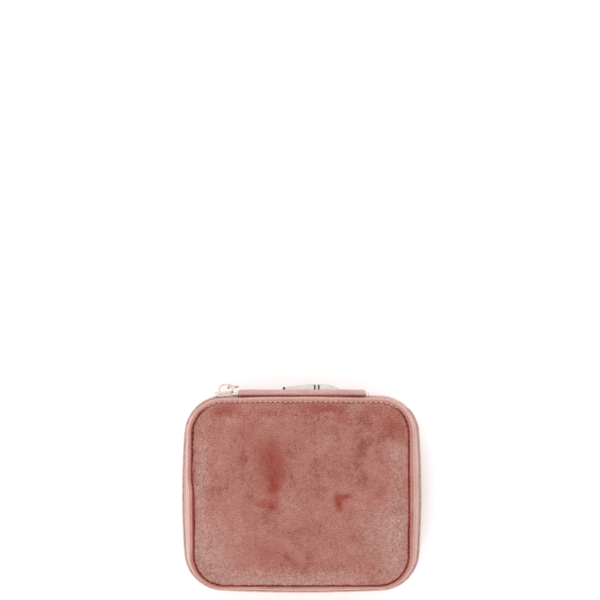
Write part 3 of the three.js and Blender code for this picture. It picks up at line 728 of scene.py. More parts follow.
# Painted highlight: the last colour is the thread's pale along the back edge.
DARK_THREAD = edge_thread("edge_thread", rgb("a04032"), rgb("7c2a1f"), rgb("e0b4aa"))
SEAM_THREAD = thread("seam_thread", rgb("96402f"), rgb("742a1e"))
PALE_THREAD = thread("pale_thread", rgb("dcb1a8"), rgb("b98a80"))
SATIN = satin("label_satin", rgb("d3cdc8"), rgb("c3bcb6"), LABEL_BARS)
METAL = plated_metal("plated_metal", rgb("e3d2cb"), rgb("c9b2a9"))
CAD_METAL = plated_metal("plated_metal_cast", rgb("e3d2cb"), rgb("c9b2a9"), own=True)
LEATHER = soft_leather("strap_leather", rgb("b57d72"), rgb("96594e"))
BOARD = pulp_board("pulp_board")
FOAM = soft_foam("padding_foam")


# ---- Shell, the same for both halves ----


def whole_outline(pitch):
    stations = spaced(0, pitch)[0][:-1]
    return lambda reach: around(reach, stations)


def edge_distance(points):
    """How far inside the panel's edge each point is, nearly."""
    width, depth, corner, _ = outline_at(0)
    x = np.abs(points[:, 0]) - (width - corner)
    y = np.abs(points[:, 1]) - (depth - corner)
    outside = np.hypot(np.maximum(x, 0), np.maximum(y, 0))
    return corner - outside - np.minimum(np.maximum(x, y), 0)


def ramp(values, low, high):
    """0 below low, 1 above high, and smooth between them."""
    t = np.clip((values - low) / (high - low), 0, 1)
    return t * t * (3 - 2 * t)


def dome(t):
    """Rises from 0 to 1 as t does, as the quarter of a circle rises."""
    t = np.clip(t, 0, 1)
    return np.sqrt(1 - (1 - t) ** 2)


def settled(points):
    """The lid's padding has crept towards its left and back edges, and pushes the stitched edge out."""
    points = points.copy()
    x, y, z = points.reshape(-1, 3).T
    high = ramp(z - ZIP_Z, 10, FOAM_RISE)
    left = ramp(-x, 34, 50) * high * (0.75 + 0.85 * ramp(y, 1, 8) * (1 - 0.7 * ramp(y, 30, 44)))
    back = ramp(y, 30, 44) * high * 0.55
    right = ramp(x, 34, 50) * high * 0.3
    flat = points.reshape(-1, 3)
    flat[:, 0] += right - left
    flat[:, 1] += back
    return flat.reshape(points.shape)


def groove_shade_kept(y):
    """1 over most of the case, and 0 along its back edge, where the stitched groove catches light and
    is given no painted shade.
    """
    return 1 - ramp(y, 40, 44.5)


def lid_top():
    """Velvet drawn over padding: crowned, dimpled along its stitches and never quite even."""
    rim = rounded(
        [(-0.9, FOAM_RISE - 0.3), (-0.1, FOAM_RISE - 0.2), (0.05, FOAM_RISE + 1.0),
         (-0.6, FOAM_RISE + 1.72), (-2.4, TOP_RISE - 0.58), (-6.0, TOP_RISE - 0.2), (-11.0, TOP_RISE)],
        1.2, 0.6, closed=False)
    outline = whole_outline(0.9)
    points, faces = slab(outline, [(reach, ZIP_Z + rise) for reach, rise in rim], rings=16)
    points = settled(points)
    top = make_object("lid_top", points, faces, LID_VELVET)
    inward = edge_distance(points)
    above = points[:, 2] > ZIP_Z + FOAM_RISE + 0.5
    angle = np.arctan2(points[:, 1], points[:, 0])
    dimples = 0.07 * np.sin(angle * 150) * np.exp(-inward / 1.1)
    pulls = 0.16 * waves(points, 5.5, 3) * np.exp(-inward / 2.6)
    swell(top, above * (0.13 * waves(points, 26, 1) + 0.05 * waves(points, 9, 2) + pulls + dimples))
    # Painted shade in the stitched groove, left off along the back edge.
    groove_shade = 1 - ramp(points[:, 2] - ZIP_Z, FOAM_RISE + 1.3, FOAM_RISE + 1.75)
    press(top, groove_shade_kept(points[:, 1]) * groove_shade)
    place(top, "lid", "velvet", "lid_top_panel")


def base_bottom():
    """The base's own panel, flat where it rests."""
    rim = rounded(
        [(-0.9, FOAM_RISE - 0.2), (-0.3, FOAM_RISE - 0.1), (-0.3, FOAM_RISE + 1.2), (-1.3, BOTTOM_RISE)],
        0.9, 0.5, closed=False)
    outline = whole_outline(1.2)
    points, faces = slab(outline, [(reach, ZIP_Z - rise) for reach, rise in rim], rings=12)
    bottom = make_object("base_bottom", points, faces, VELVET)
    place(bottom, "base", "velvet", "base_bottom_panel")


def side_band(body, side):
    """The velvet gusset: a rolled edge round the panel, a full side, and a turned-in edge at the zip."""
    rolled = [(-0.35, FOAM_RISE + 0.1), (0.3, FOAM_RISE + 0.25), (0.45, FOAM_RISE + 1.35),
              (1.2, FOAM_RISE + 1.95), (2.3, FOAM_RISE + 1.2)]
    outer = [(2.9, 20.5), (3.55, 14.6), (4.05, 9.5), (SEAM_REACH, SEAM_RISE)]
    inner = [(SEAM_REACH - 0.85, SEAM_RISE - 0.05), (3.05, 10.0), (2.5, 14.8), (1.9, 20.5)]
    tucked = [(1.35, FOAM_RISE - 0.1), (-0.35, FOAM_RISE - 0.15)]
    section = rounded(rolled + outer + inner + tucked, 0.8, 1.1)
    points, faces, cloth = sweep(section, side, 2.0, 0.9)
    if side == LID:
        points = settled(points)
    band = make_object(f"{body}_side", points, faces, BAND_VELVET_PAINTED_SHEEN, cloth)
    flat = points.reshape(-1, 3)
    rise = np.abs(flat[:, 2] - ZIP_Z)
    # Painted shade in the stitched groove, except along the back edge, and half as strong along the
    # turned-in edge at the zip.
    groove = np.tile([out < 0.7 and rise > FOAM_RISE for out, rise in section], len(points))
    zip_edge_shade = 0.5 * (1 - ramp(rise, SEAM_RISE, SEAM_RISE + 0.9))
    press(band, groove * groove_shade_kept(flat[:, 1]) + zip_edge_shade)
    edge = np.exp(-np.abs(rise - FOAM_RISE - 1.6) / 1.2)
    along = cloth.reshape(-1, 2)[:, 0]
    dimples = 0.05 * np.sin(along * 2 * math.pi / STITCH_PITCH) * edge
    free = np.clip((rise - SEAM_RISE) / 3, 0, 1) * np.clip((FOAM_RISE - rise) / 2, 0, 1)
    pulls = 0.1 * waves(flat * (1, 1, 0.3), 4.5, 17 + side) * np.exp(-np.abs(rise - FOAM_RISE) / 5)
    slack = 0.12 * waves(flat, 16, 11 + side) + 0.06 * waves(flat, 6, 13 + side)
    swell(band, free * (slack + pulls) + dimples)
    place(band, body, "velvet", f"{body}_side_band", f"{body}_welt")


def edge_stitches(body, side):
    """Thread lying in the groove between the panel and the rolled edge."""
    groove_reach, groove_rise = 0.25, FOAM_RISE + 1.4
    stations, _ = spaced(groove_reach, STITCH_PITCH)
    level = np.full(len(stations), ZIP_Z + side * groove_rise)
    path = np.column_stack([around(groove_reach, stations), level])
    path = np.concatenate([path, path[1:2]])
    if side == LID:
        path = settled(path)
    shape = stitch(0.31 * STITCH_PITCH, side * 0.28, side * 0.6, THREAD, thin=0.35, count=9)
    points, faces = repeated(shape, path[1:-1], axes_along(path, (0, 0, 1)))
    made = make_object(f"{body}_edge_stitches", points, faces, DARK_THREAD)
    place(made, body, "velvet")


def zip_run(x):
    """The stations between which the zip runs, from the back left round the front to the back right."""
    end = station_at_x(MIDLINE_REACH, x)
    return 6 - end, 12 + end


def tape_section():
    """The tape's section: from the velvet's edge, out to the coil and down behind it to the zip's plane."""
    near = SEAM_REACH + 0.45 * (MIDLINE_REACH - SEAM_REACH)
    outer = [(SEAM_REACH, SEAM_RISE - 0.15, 0.1), (near, 4.4, 0.62), (MIDLINE_REACH, 1.9, 1.7),
             (MIDLINE_REACH, 0.45, 1.66)]
    inner = [(MIDLINE_REACH, 0.45, 2.1), (MIDLINE_REACH, 1.8, 2.18), (near, 4.3, 1.12),
             (SEAM_REACH, SEAM_RISE - 0.2, 0.6)]
    return rounded(outer + inner, 0.25, 0.5)


def ledge_section():
    """The tape's narrow fold, sewn down over the back of the coil."""
    return rounded(
        [(MIDLINE_REACH, 3.1, 1.95), (MIDLINE_REACH, 2.85, 1.25), (MIDLINE_REACH, 2.5, 1.2),
         (MIDLINE_REACH, 2.5, 1.85)],
        0.12, 0.5)


def core_section():
    """The cord that runs inside the coil's loops."""
    return [(MIDLINE_REACH, 0.85, 0.64), (MIDLINE_REACH, 2.0, 0.64), (MIDLINE_REACH, 2.0, 0.96),
            (MIDLINE_REACH, 0.85, 0.96)]


def tooth(head):
    """One loop of the coil, across the zip: x along the zip, y outwards, z from its tape to its head."""
    turn = np.linspace(0, 2 * math.pi, 17)[:-1]
    depth = COIL_DEPTH / 2 - COIL_WIRE
    low, high = head + COIL_WIRE, COIL_BACK - COIL_WIRE
    middle, half = (low + high) / 2, (high - low) / 2
    round_off = np.sign(np.sin(turn)) * np.abs(np.sin(turn)) ** 0.55
    path = np.column_stack([0 * turn, depth * np.cos(turn), middle + half * round_off])
    return tube(path, COIL_WIRE, sides=8, closed=True)


def coil(side, start, stop):
    """A row of loops from one station to another. The two halves' rows are half a pitch apart, and mesh
    except where the slider's post runs between them."""
    inset = COIL_DEPTH / 2
    stations, _ = spaced(MIDLINE_REACH, COIL_PITCH / 2)
    both = np.concatenate([stations[:-1], stations[:-1] + 12])
    first = 0 if side == LID else 1
    chosen = both[(both > start) & (both < stop) & (np.arange(len(both)) % 2 == first)]
    ahead = around(MIDLINE_REACH, chosen + 0.01, inset) - around(MIDLINE_REACH, chosen - 0.01, inset)
    ahead /= np.linalg.norm(ahead, axis=1)[:, None]
    outward = np.column_stack([ahead[:, 1], -ahead[:, 0]])
    zeros = np.zeros((len(chosen), 1))
    axes = np.stack([
        np.hstack([ahead, zeros]),
        np.hstack([outward, zeros]),
        np.hstack([zeros, zeros, zeros + side]),
    ], axis=1)
    origins = np.column_stack([around(MIDLINE_REACH, chosen, inset), np.full(len(chosen), ZIP_Z)])
    parted = np.zeros(len(chosen), bool)
    for left, right, front, back in POST_SPOTS:
        x, y = origins[:, 0], origins[:, 1]
        parted |= (x > left) & (x < right) & (y > front) & (y < back)
    return joined(
        repeated(tooth(HEAD_PARTED), origins[parted], axes[parted]),
        repeated(tooth(HEAD_MESHED), origins[~parted], axes[~parted]),
    )


def zip_parts(side, start, stop, pitch, fold_pitch):
    """A stretch of one half's zip: its tape and the tape's fold, with their places on the cloth, its row
    of loops, the core inside them and the thread that holds the tape."""
    tape = sweep(tape_section(), side, SEAM_REACH, pitch, start, stop)
    fold = sweep(ledge_section(), side, MIDLINE_REACH, fold_pitch, start, stop)
    core = sweep(core_section(), side, MIDLINE_REACH, 1.2, start, stop)[:2]
    return tape, fold, coil(side, start, stop), core, tape_stitches(side, start, stop)


def zip_half(body, side, x):
    """The stretch of zip that belongs to one half alone, ending at an x beside the spine."""
    tape, fold, row, core, seam = zip_parts(side, *zip_run(x), 0.9, 1.0)
    for name, shape, material, slot, nodes in (
        ("tape", tape, TAPE, "zip_cloth", ["zip_tape"]),
        ("tape_fold", fold, TAPE, "zip_cloth", []),
        ("coil", row, COIL, "zip_coil", ["zip_coil"]),
        ("coil_core", core, CORE, "zip_coil", []),
        ("tape_stitches", seam, PALE_THREAD, "zip_cloth", []),
    ):
        points, faces, *cloth = shape
        made = make_object(f"{body}_{name}", points, faces, material, *cloth)
        place(made, body, slot, *(f"{body}_{node}" for node in nodes))


def tape_stitches(side, start, stop):
    """The line of thread that holds the tape, just beside the velvet's turned-in edge."""
    stations, _ = spaced(SEAM_REACH, 2.0, start, stop)
    level = np.full(len(stations), ZIP_Z + side * (SEAM_RISE - 0.9))
    path = np.column_stack([around(SEAM_REACH + 0.3, stations, 0.16), level])
    along = np.linspace(-1, 1, 5)
    line = np.column_stack([along * 0.72, -0.1 + 0.22 * along**4, 0 * along])
    return repeated(tube(line, 0.11, sides=6), path[1:-1], axes_along(path, (0, 0, 1)))


SOFT_X = half_size("zip_end_right")[0]
SLIDER_END_X = 44.0  # inside this, the two rows stay meshed when the lid opens
ZIP_END_X = box_mm("zip_end_right")[0][0]


def zip_end(name, outer_x, inner_x):
    """A stretch of the lid's tape and coil beside the spine, as one mesh."""
    mirror = -1 if name.startswith("zip_end_left") else 1
    ends = sorted(station_at_x(MIDLINE_REACH, x) for x in (outer_x, inner_x))
    start, stop = ends if mirror > 0 else (6 - ends[1], 6 - ends[0])
    tape, fold, row, core, seam = zip_parts(LID, start, stop, 0.7, 0.7)
    points, faces = joined(tape[:2], fold[:2], row, seam, core)
    cloth = np.concatenate([part[2].reshape(-1, 2) for part in (tape, fold)])
    cloth = np.pad(cloth, ((0, len(points) - len(cloth)), (0, 0)))
    end = make_object(name, points, faces, TAPE, cloth)
    for material in (COIL, PALE_THREAD, CORE):
        end.data.materials.append(material)
    kinds = np.repeat([0, 0, 1, 2, 3], [len(part[1]) for part in (tape, fold, row, seam, core)])
    end.data.polygons.foreach_set("material_index", kinds)
    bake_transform(end)
    return end


def zip_ends():
    """Two stretches on each side of the spine. Together they stand for one CAD node."""
    for hand in ("left", "right"):
        inner = zip_end(f"zip_end_{hand}_inner", SLIDER_END_X, ZIP_END_X)
        outer = zip_end(f"zip_end_{hand}_outer", SOFT_X, SLIDER_END_X)
        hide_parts(f"zip_end_{hand}")
        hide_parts(f"zip_end_{hand}")


# ---- Hinge and label ----


def hinge_strip(node, material, flange):
    """A bowed strip across the back, with hemmed ends and edges turned in by a flange."""
    end_round, thickness = 2.2, 0.9
    low, high = box_mm(node)
    half_height = (high[2] - low[2]) / 2
    crown = high[1]
    edge = low[1] + 0.5
    rise = crown - edge
    radius = (half_height**2 + rise**2) / (2 * rise)
    sweep_angle = math.asin(half_height / radius)
    around_bow = np.linspace(-1, 1, 33)
    lengths = np.linspace(low[0], high[0], 81)
    points = []
    for x in lengths:
        full = dome(min(x - low[0], high[0] - x) / end_round)
        keep = 1 - 0.09 * (1 - full)
        ring = []
        for depth, order in ((0.0, around_bow), (thickness * (0.25 + 0.75 * full), around_bow[::-1])):
            for t in order:
                angle = t * sweep_angle * keep
                here = radius - depth - 0.8 * (1 - full) * (1 - abs(t) ** 3)
                tuck = (1 - depth / thickness) * flange * max(0, abs(t) - 0.9) / 0.1
                y = crown - radius + here * math.cos(angle) - tuck
                ring.append((x, y, ZIP_Z + here * math.sin(angle)))
        points.append(ring)
    points = np.array(points)
    rows, columns = points.shape[:2]
    faces = grid_faces(rows, columns, columns_close=True) + end_caps(rows, columns)
    flat = points.reshape(-1, 3)
    strip = make_object(node.replace("hinge_", "hinge_cover_"), flat, faces, material)
    swell(strip, 0.06 * waves(flat, 11, 21) + 0.03 * waves(flat, 4, 22))
    # Painted shade along the strip's sewn edges.
    from_middle = np.abs(np.concatenate([around_bow, around_bow[::-1]]))
    press(strip, 0.9 * ramp(np.tile(from_middle, len(points)), 0.84, 0.96))
    return strip


def hinge():
    """The velvet spine outside and the lining behind it."""
    strips = (("hinge_spine", SPINE_VELVET_PAINTED_SHEEN, "velvet", 0.75), ("hinge_lining", LINING, "lining", 0.1))
    for node, material, slot, flange in strips:
        strip = hinge_strip(node, material, flange)
        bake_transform(strip)
        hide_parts(node)


def spine_stitches():
    """Thread along both of the spine's sewn edges. Each row moves with its own half."""
    low, high = box_mm("hinge_spine")
    for body, side in (("base", BASE), ("lid", LID)):
        x = np.arange(low[0] + 0.2, high[0] + 1, STITCH_PITCH)
        z = ZIP_Z + side * ((high[2] - low[2]) / 2 - 0.35)
        path = np.column_stack([x, 0 * x + low[1] + 0.45, 0 * x + z])
        shape = stitch(0.36 * STITCH_PITCH, 0.12, 0.3, THREAD)
        axes = axes_along(path, (0, 0.5, side))
        made = make_object(f"{body}_spine_stitches", *repeated(shape, path[1:-1], axes), SEAM_THREAD)
        place(made, body, "velvet")


def label():
    """A ribbon folded in half, with both its ends sewn in below the spine. The fold bulges out past it."""
    low, high = box_mm("woven_label")
    columns = np.linspace(0, 1, 71)
    quick, top_share, falls_from = 0.07, 0.69, 0.66  # shares of the width where the bulge changes
    out = np.sqrt(np.clip(columns / quick, 0, 1)) * 0.72
    out = out + 0.28 * np.sin(np.clip((columns - quick) / (top_share - quick), 0, 1) * math.pi / 2)
    fall = np.clip((columns - falls_from) / (1 - falls_from), 0, 1)
    out = out * np.sqrt(np.clip(1 - 0.78 * fall**2.2, 0, 1))
    bend = 0.42  # radius of the fold
    flat = np.linspace(0, 1, 9)
    turn = np.linspace(0, math.pi, 9)[1:-1]
    share = np.concatenate([flat, 1 + 0 * turn, flat[::-1]])
    past = np.concatenate([0 * flat, bend * np.sin(turn), 0 * flat])
    level = np.concatenate([bend + 0 * flat, bend * np.cos(turn), -bend + 0 * flat])
    puff = np.concatenate([np.sin(flat * math.pi), 0 * turn, -np.sin(flat[::-1] * math.pi)])
    middle = (low[2] + high[2]) / 2
    top = np.empty((len(share), len(columns), 3))
    for i in range(len(share)):
        away = share[i] * ((high[1] - low[1]) * out - bend) + past[i]
        top[i, :, 0] = low[0] + columns * (high[0] - low[0])
        top[i, :, 1] = low[1] + away
        droop = 0.15 * np.sin(columns * 9) * share[i] - 0.03 * away**2
        top[i, :, 2] = middle + level[i] + 0.25 * puff[i] + droop
    points, faces, cloth = shell(top, 0.22)
    made = make_object("label", points, faces, SATIN, cloth)
    place(made, "base", "satin", "woven_label")


def shell(top, thickness):
    """A thin closed sheet from a grid of points: the grid, and its copy a thickness behind it."""
    along = np.gradient(top, axis=1)
    across = np.gradient(top, axis=0)
    normals = np.cross(along, across)
    normals /= np.linalg.norm(normals, axis=2)[:, :, None] + 1e-9
    back = top - normals * thickness
    rows, columns = top.shape[:2]
    faces = grid_faces(rows, columns)
    size = rows * columns
    faces += [[v + size for v in face] for face in grid_faces(rows, columns)]
    border = [(0, j) for j in range(columns)] + [(i, columns - 1) for i in range(1, rows)]
    border += [(rows - 1, j) for j in range(columns - 2, -1, -1)] + [(i, 0) for i in range(rows - 2, 0, -1)]
    ids = [i * columns + j for i, j in border]
    faces += [[a, b, b + size, a + size] for a, b in zip(ids, ids[1:] + ids[:1])]
    widths = np.linspace(0, np.linalg.norm(np.diff(top[0], axis=0), axis=1).sum(), columns)
    depths = np.linspace(0, np.linalg.norm(np.diff(top[:, 0], axis=0), axis=1).sum(), rows)
    cloth = np.stack(np.meshgrid(widths, depths), axis=2).reshape(-1, 2)
    return np.concatenate([top.reshape(-1, 3), back.reshape(-1, 3)]), faces, np.concatenate([cloth, cloth])


# ---- Inside ----


BOARD_INSIDE = 1.6  # depth of the wall board's inner face inside its outer one
BOARD_RIM_INSET = 1.3
BOARD_FOOT_OUT = 0.6


def in_wall(rise, depth):
    """A section point at a depth inside the wall board's outer face."""
    share = (BOARD_RISE - rise) / (BOARD_RISE - SEAM_RISE)
    inset = (1 - share) * -BOARD_FOOT_OUT + share * BOARD_RIM_INSET
    return share * SEAM_REACH, rise, inset + depth


def lining(body, side):
    """The inner wall, turned over the rim so that no board shows, and the padded panel inside it."""
    face = BOARD_INSIDE + 0.2
    foot = LINING_RISE + 1.1
    outer = [in_wall(foot, face), in_wall(12.0, face), in_wall(SEAM_RISE + 0.1, face)]
    turned = [(SEAM_REACH, SEAM_RISE - 0.2, 2.4), (SEAM_REACH, SEAM_RISE - 0.2, 0.95),
              (SEAM_REACH, SEAM_RISE - 0.85, 1.0), (SEAM_REACH, SEAM_RISE - 1.0, 3.2)]
    inner = [in_wall(SEAM_RISE + 0.6, face + 0.9), in_wall(12.0, face + 0.85), in_wall(foot, face + 0.85)]
    section = rounded(outer + turned + inner, 0.5, 0.9)
    points, faces, cloth = sweep(section, side, -1.0, 1.1)
    wall = make_object(f"{body}_inner_wall", points, faces, LINING, cloth)
    flat = points.reshape(-1, 3)
    rise = np.abs(flat[:, 2] - ZIP_Z)
    inner = np.clip((rise - SEAM_RISE) / 3, 0, 1) * np.clip((LINING_RISE - rise) / 4, 0, 1)
    swell(wall, inner * (0.1 * waves(flat * (1, 1, 0.4), 7, 31 + side)))
    place(wall, body, "lining", f"{body}_lining_wall")
    top = LINING_RISE
    rim = [(-5, top + 0.95), (-2.3, top + 0.95), (-2.1, top + 0.4), (-3.2, top)]
    rim = rounded(rim, 0.5, 0.4, closed=False)
    outline = whole_outline(1.2)
    points, faces = slab(outline, [(reach, ZIP_Z + side * rise) for reach, rise in rim], rings=18)
    panel = make_object(f"{body}_inner_panel", points, faces, LINING)
    facing = np.abs(points[:, 2] - ZIP_Z) < top + 0.2
    swell(panel, facing * np.minimum(0.08 * waves(points, 14, 37 + side), 0.12))
    place(panel, body, "lining", f"{body}_lining_panel")


def rounded_box(low, high, radius, step):
    """A box with rounded edges, as points about a step apart."""
    low, high = np.array(low, float), np.array(high, float)
    lines = []
    for a, b in zip(low, high):
        curve = min(radius, (b - a) / 2)
        ends = np.array([0, 0.25, 0.55, 1]) * curve
        middle = np.linspace(a + curve, b - curve, max(2, math.ceil((b - a - 2 * curve) / step) + 1))
        lines.append(np.unique(np.round(np.concatenate([a + ends, middle, b - ends]), 5)))
    index, points, faces = {}, [], []

    def number(p):
        key = tuple(np.round(p, 5))
        if key not in index:
            index[key] = len(points)
            core = np.clip(p, low + radius, high - radius)
            core = np.where(high - low < 2 * radius, (low + high) / 2, core)
            away = p - core
            points.append(core + away / np.linalg.norm(away) * radius)
        return index[key]

    for axis in range(3):
        u, v = [k for k in range(3) if k != axis]
        for value in (low[axis], high[axis]):
            for i in range(len(lines[u]) - 1):
                for j in range(len(lines[v]) - 1):
                    corners = []
                    for a, b in ((i, j), (i + 1, j), (i + 1, j + 1), (i, j + 1)):
                        p = np.empty(3)
                        p[axis], p[u], p[v] = value, lines[u][a], lines[v][b]
                        corners.append(number(p))
                    faces.append(corners)
    return np.array(points), faces


def covered_board(node, body, name):
    """A thin board in lining velvet, with a rolled top edge."""
    low, high = box_mm(node)
    thin = int(np.argmin(high - low))
    radius = (high - low)[thin] / 2 - 0.02
    points, faces = rounded_box(low, high, radius, 1.5)
    made = make_object(name, points, faces, LINING)
    swell(made, 0.05 * waves(points, 9, 41) + 0.03 * waves(points, 3.5, 42))
    place(made, body, "lining", node)


def ring_roll(node):
    """One stuffed roll: flat underneath, round on top, its ends gathered in."""
    low, high = box_mm(node)
    middle = (low[0] + high[0]) / 2
    half = (high[0] - low[0]) / 2
    turn = np.linspace(0, math.pi, 19)
    arch = [(half * math.cos(t), high[2] - half + half * math.sin(t)) for t in turn]
    section = rounded([(half, low[2]), *arch, (-half, low[2])], 0.9, 1.0)
    lengths = np.linspace(0, 1, 65)
    lengths = low[1] + (high[1] - low[1]) * (lengths - 0.09 * np.sin(2 * math.pi * lengths) / 2)
    points = np.empty((len(lengths), len(section), 3))
    for i, y in enumerate(lengths):
        full = dome(min(y - low[1], high[1] - y) / 4.2)
        scale = 0.42 + 0.58 * full
        points[i, :, 0] = middle + section[:, 0] * scale
        points[i, :, 1] = y
        points[i, :, 2] = low[2] + (section[:, 1] - low[2]) * (0.5 + 0.5 * full)
    rows, columns = points.shape[:2]
    faces = grid_faces(rows, columns, columns_close=True) + end_caps(rows, columns)
    flat = points.reshape(-1, 3)
    roll = make_object(node + "_velvet", flat, faces, LINING)
    lifted = np.clip((flat[:, 2] - low[2]) / 2, 0, 1)
    from_end = np.minimum(flat[:, 1] - low[1], high[1] - flat[:, 1])
    round_axis = np.arctan2(flat[:, 2] - low[2] - 4, flat[:, 0] - middle)
    gathers = 0.16 * np.sin(round_axis * 17) * np.exp(-from_end / 2.2)
    swell(roll, lifted * (0.08 * waves(flat, 8, int(low[0]) + 90) + gathers - 0.05))
    place(roll, "base", "lining", node)


def pocket():
    """A gathered pocket on the lid's lining. Its front edge is drawn in by an elastic hem."""
    low, high = box_mm("lid_pocket")
    hem_low, hem_high = box_mm("lid_pocket_hem")
    columns = np.linspace(-1, 1, 181)
    rows = np.linspace(0, 1, 41)
    half = (high[0] - low[0]) / 2
    top = np.empty((len(rows), len(columns), 3))
    drop = high[2] - low[2]
    sides = dome((1 - np.abs(columns)) * half / 7)
    for i, t in enumerate(rows):
        back = dome((1 - t) * (high[1] - low[1]) / 12)
        sag = 0.86 + 0.14 * math.sin(math.pi * min(1, t * 1.4))
        folds = np.sin(columns * half * 2 * math.pi / 4.4 + 2.2 * np.sin(columns * 5))
        folds += 0.5 * np.sin(columns * half * 2 * math.pi / 2.7 + 3 * np.sin(columns * 3 + 1))
        folds = 0.42 * folds * (0.25 + 0.75 * (1 - t) ** 1.4)
        z = high[2] - drop * sides * back * sag + folds * sides * back
        top[i, :, 0] = columns * half
        top[i, :, 1] = low[1] + t * (high[1] - low[1])
        top[i, :, 2] = np.minimum(z, high[2] + 0.1)
    points, faces, cloth = shell(top, 0.4)
    made = make_object("pocket", points, faces, LINING, cloth)
    place(made, "lid", "lining", "lid_pocket")
    front = top[0]
    path = front + np.array([0, (hem_low[1] + hem_high[1]) / 2 - low[1], 0])
    path[:, 2] += 0.25
    puckers = 1 + 0.13 * np.sin(np.arange(len(path)) * 1.9) + 0.07 * np.sin(np.arange(len(path)) * 0.83)
    radii = (hem_high[2] - hem_low[2]) / 2 * puckers
    hem = make_object("pocket_hem", *tube(path, radii, sides=14), ELASTIC)
    place(hem, "lid", "lining", "lid_pocket_hem")


def moved_slab(name, outline, rim, centre, material, rings=8):
    """A slab drawn about the origin, moved to its place."""
    points, faces = slab(outline, rim, rings)
    points = points + np.array([centre[0], centre[1], 0])
    return make_object(name, points, faces, material)


def disc(radius, count=48):
    """A circle as an outline that a slab takes."""
    turn = np.arange(count) * 2 * math.pi / count
    ring = np.column_stack([np.cos(turn), np.sin(turn)])
    return lambda reach: ring * (radius + reach)


def strap_outline(half_width, back, front):
    """A strap's plan about its own middle: square at its sewn end, round at its free end."""
    arc = np.linspace(0, math.pi, 25)
    bow = half_width
    free = [(half_width * math.cos(t), front - bow + half_width * math.sin(t)) for t in arc]
    path = rounded([(-half_width, back), (half_width, back), *free], 1.7, 0.6)
    before = np.roll(path, 1, axis=0)
    after = np.roll(path, -1, axis=0)
    along = after - before
    along /= np.linalg.norm(along, axis=1)[:, None]
    outward = np.column_stack([along[:, 1], -along[:, 0]])
    return lambda reach: path + outward * reach


def soft_rim(low, high, radius):
    """The (reach, z) path of a slab's rounded edge."""
    return rounded([(-0.7, low), (0, low), (0, high), (-0.7, high)], radius, 0.3, closed=False)


def necklace_tabs():
    low, high = box_mm("necklace_tab_anchor")
    points, faces = rounded_box(low, high, 0.9, 1.2)
    anchor = make_object("tab_anchor", points, faces, LEATHER)
    swell(anchor, 0.04 * waves(points, 6, 51))
    place(anchor, "lid", "strap", "necklace_tab_anchor")
    count = sum(1 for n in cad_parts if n.startswith("snap_stud_"))
    for i in range(1, count + 1):
        body = f"tab_{i}"
        low, high = box_mm(f"necklace_tab_{i}")
        middle = (low + high) / 2
        outline = strap_outline((high[0] - low[0]) / 2, low[1] - middle[1], high[1] - middle[1])
        strap = moved_slab(f"{body}_strap", outline, soft_rim(low[2], high[2], 0.45), middle, LEATHER)
        place(strap, body, "strap", f"necklace_tab_{i}")
        border = outline(-1.1)
        path = np.column_stack([border + middle[:2], np.full(len(border), low[2])])
        sew(f"{body}_stitches", path, body)
        snap(f"snap_cap_{i}", body)
        snap(f"snap_stud_{i}", "lid")


def sew(name, path, body):
    """Small stitches along a closed path, on the underside of a strap."""
    closed = np.concatenate([path, path[:1]])
    along = np.concatenate([[0], np.cumsum(np.linalg.norm(np.diff(closed, axis=0), axis=1))])
    count = round(along[-1] / 1.5)
    marks = (np.arange(count + 2) - 0.5) * along[-1] / count
    spots = np.column_stack([np.interp(marks % along[-1], along, closed[:, k]) for k in range(3)])
    shape = stitch(0.5, -0.1, -0.2, 0.12, count=5, sides=6)
    made = make_object(name, *repeated(shape, spots[1:-1], axes_along(spots, (0, 0, 1))), PALE_THREAD)
    place(made, body, "strap")


def snap(node, body):
    """A press stud's disc: a domed face with a rolled rim."""
    low, high = box_mm(node)
    middle = (low + high) / 2
    radius = (high[0] - low[0]) / 2
    height = high[2] - low[2]
    rolled = [(-0.4, 0), (-0.05, 0), (0, 0.12), (0, 0.3), (-0.12, 0.42), (-0.45, 0.42), (-0.62, 0.36),
              (-0.85, 0.5)]
    rim = [(reach, high[2] - drop) for reach, drop in rolled]
    rim += [(-radius * 0.45, low[2] + 0.18 * height), (-radius * 0.75, low[2])]
    made = moved_slab(node.replace("snap_", "stud_metal_"), disc(radius), rim, middle, METAL, rings=5)
    place(made, body, "metal", node)


# ---- Hard parts kept from the frame ----


def dress(node, material, bevel=0.0):
    """Gives a CAD node its finish, and softens its edges for the eye."""
    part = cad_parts[node]
    part.data.materials.clear()
    part.data.materials.append(material)
    for polygon in part.data.polygons:
        polygon.use_smooth = bevel > 0
    if bevel:
        softened = part.modifiers.new("softened", "BEVEL")
        softened.width = bevel * MM
        softened.segments = 3
        softened.limit_method = "ANGLE"
        softened.angle_limit = math.radians(32)
        softened.harden_normals = True


def hard_parts():
    """Boards, padding and metal keep the shape they have in the CAD."""
    for body in ("base", "lid"):
        dress(f"{body}_board", BOARD)
        dress(f"{body}_wall_board", BOARD)
        dress(f"{body}_foam_pad", FOAM)
    dress("slider_body", CAD_METAL, 0.22)
    dress("pull_tab", CAD_METAL, 0.25)
    dress("zip_stop_left", CAD_METAL, 0.18)
    dress("zip_stop_right", CAD_METAL, 0.18)


# ---- Studio ----


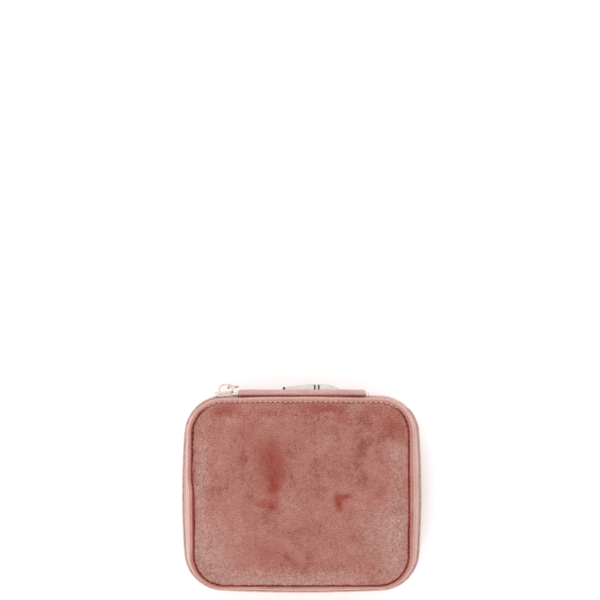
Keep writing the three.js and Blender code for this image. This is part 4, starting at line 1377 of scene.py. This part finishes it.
def floor():
    """A plain pale floor under the case."""
    size = 2.5
    mesh = bpy.data.meshes.new("floor")
    corners = [(-size, -size, 0), (size, -size, 0), (size, size, 0), (-size, size, 0)]
    mesh.from_pydata([(x, y, CAD_BOX[0][2] + z) for x, y, z in corners], [], [(0, 1, 2, 3)])
    made = linked("floor", mesh)
    graph = Graph("pale_floor")
    own = graph.node("ShaderNodeTexCoord").outputs["Object"]
    cloud = graph.noise(own, 0.9, detail=2)
    tone = graph.mix(graph.between(cloud, 0.3, 0.7), rgb("f8f8f8"), rgb("fbfbfb"))
    made.data.materials.append(graph.finish(Base_Color=tone, Roughness=0.9))


def area_light(name, size, power, location, target=(0, 0, 0.03)):
    data = bpy.data.lights.new(name, "AREA")
    data.shape = "DISK"
    data.size = size
    data.energy = power
    light = linked(name, data)
    light.location = location
    light.rotation_euler = (Vector(target) - Vector(location)).to_track_quat("-Z", "Y").to_euler()


def studio():
    """Even light from all round, stronger from above, and two large soft lights."""
    scene = bpy.context.scene
    scene.view_settings.view_transform = "Standard"
    world = bpy.data.worlds.new("studio")
    sky = Graph("studio", world, "Background")
    _, _, height = sky.separate(sky.node("ShaderNodeTexCoord").outputs["Generated"])
    sky.finish(Color=sky.between(height, 0.0, 0.75, 0.5, 1.25), Strength=1.0)
    scene.world = world
    area_light("front_softbox", 0.9, 6.0, (-0.45, -0.8, 1.1))
    area_light("back_softbox", 0.9, 6.5, (-0.05, 0.85, 1.15))
    floor()


VIEW_CENTRE = (-0.0009, 0.0965)  # metres: behind the case, so that it stands low in the frame


def camera():
    """A long lens straight above, so far away that the case's sides hardly show."""
    distance = 3.0
    data = bpy.data.cameras.new("camera")
    data.lens = 360
    data.sensor_width = 36
    data.clip_end = 20
    made = linked("camera", data)
    made.location = (*VIEW_CENTRE, ZIP_Z * MM + distance)
    bpy.context.scene.camera = made


camera()
studio()
hard_parts()
lid_top()
base_bottom()
for body, side in (("base", BASE), ("lid", LID)):
    side_band(body, side)
    edge_stitches(body, side)
    lining(body, side)
zip_half("base", BASE, ZIP_END_X)
zip_half("lid", LID, SOFT_X)
zip_ends()
hinge()
spine_stitches()
label()
for node in sorted(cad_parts):
    if node.startswith("ring_roll_"):
        ring_roll(node)
covered_board("partition", "base", "partition_velvet")
covered_board("divider", "divider", "divider_velvet")
pocket()
necklace_tabs()
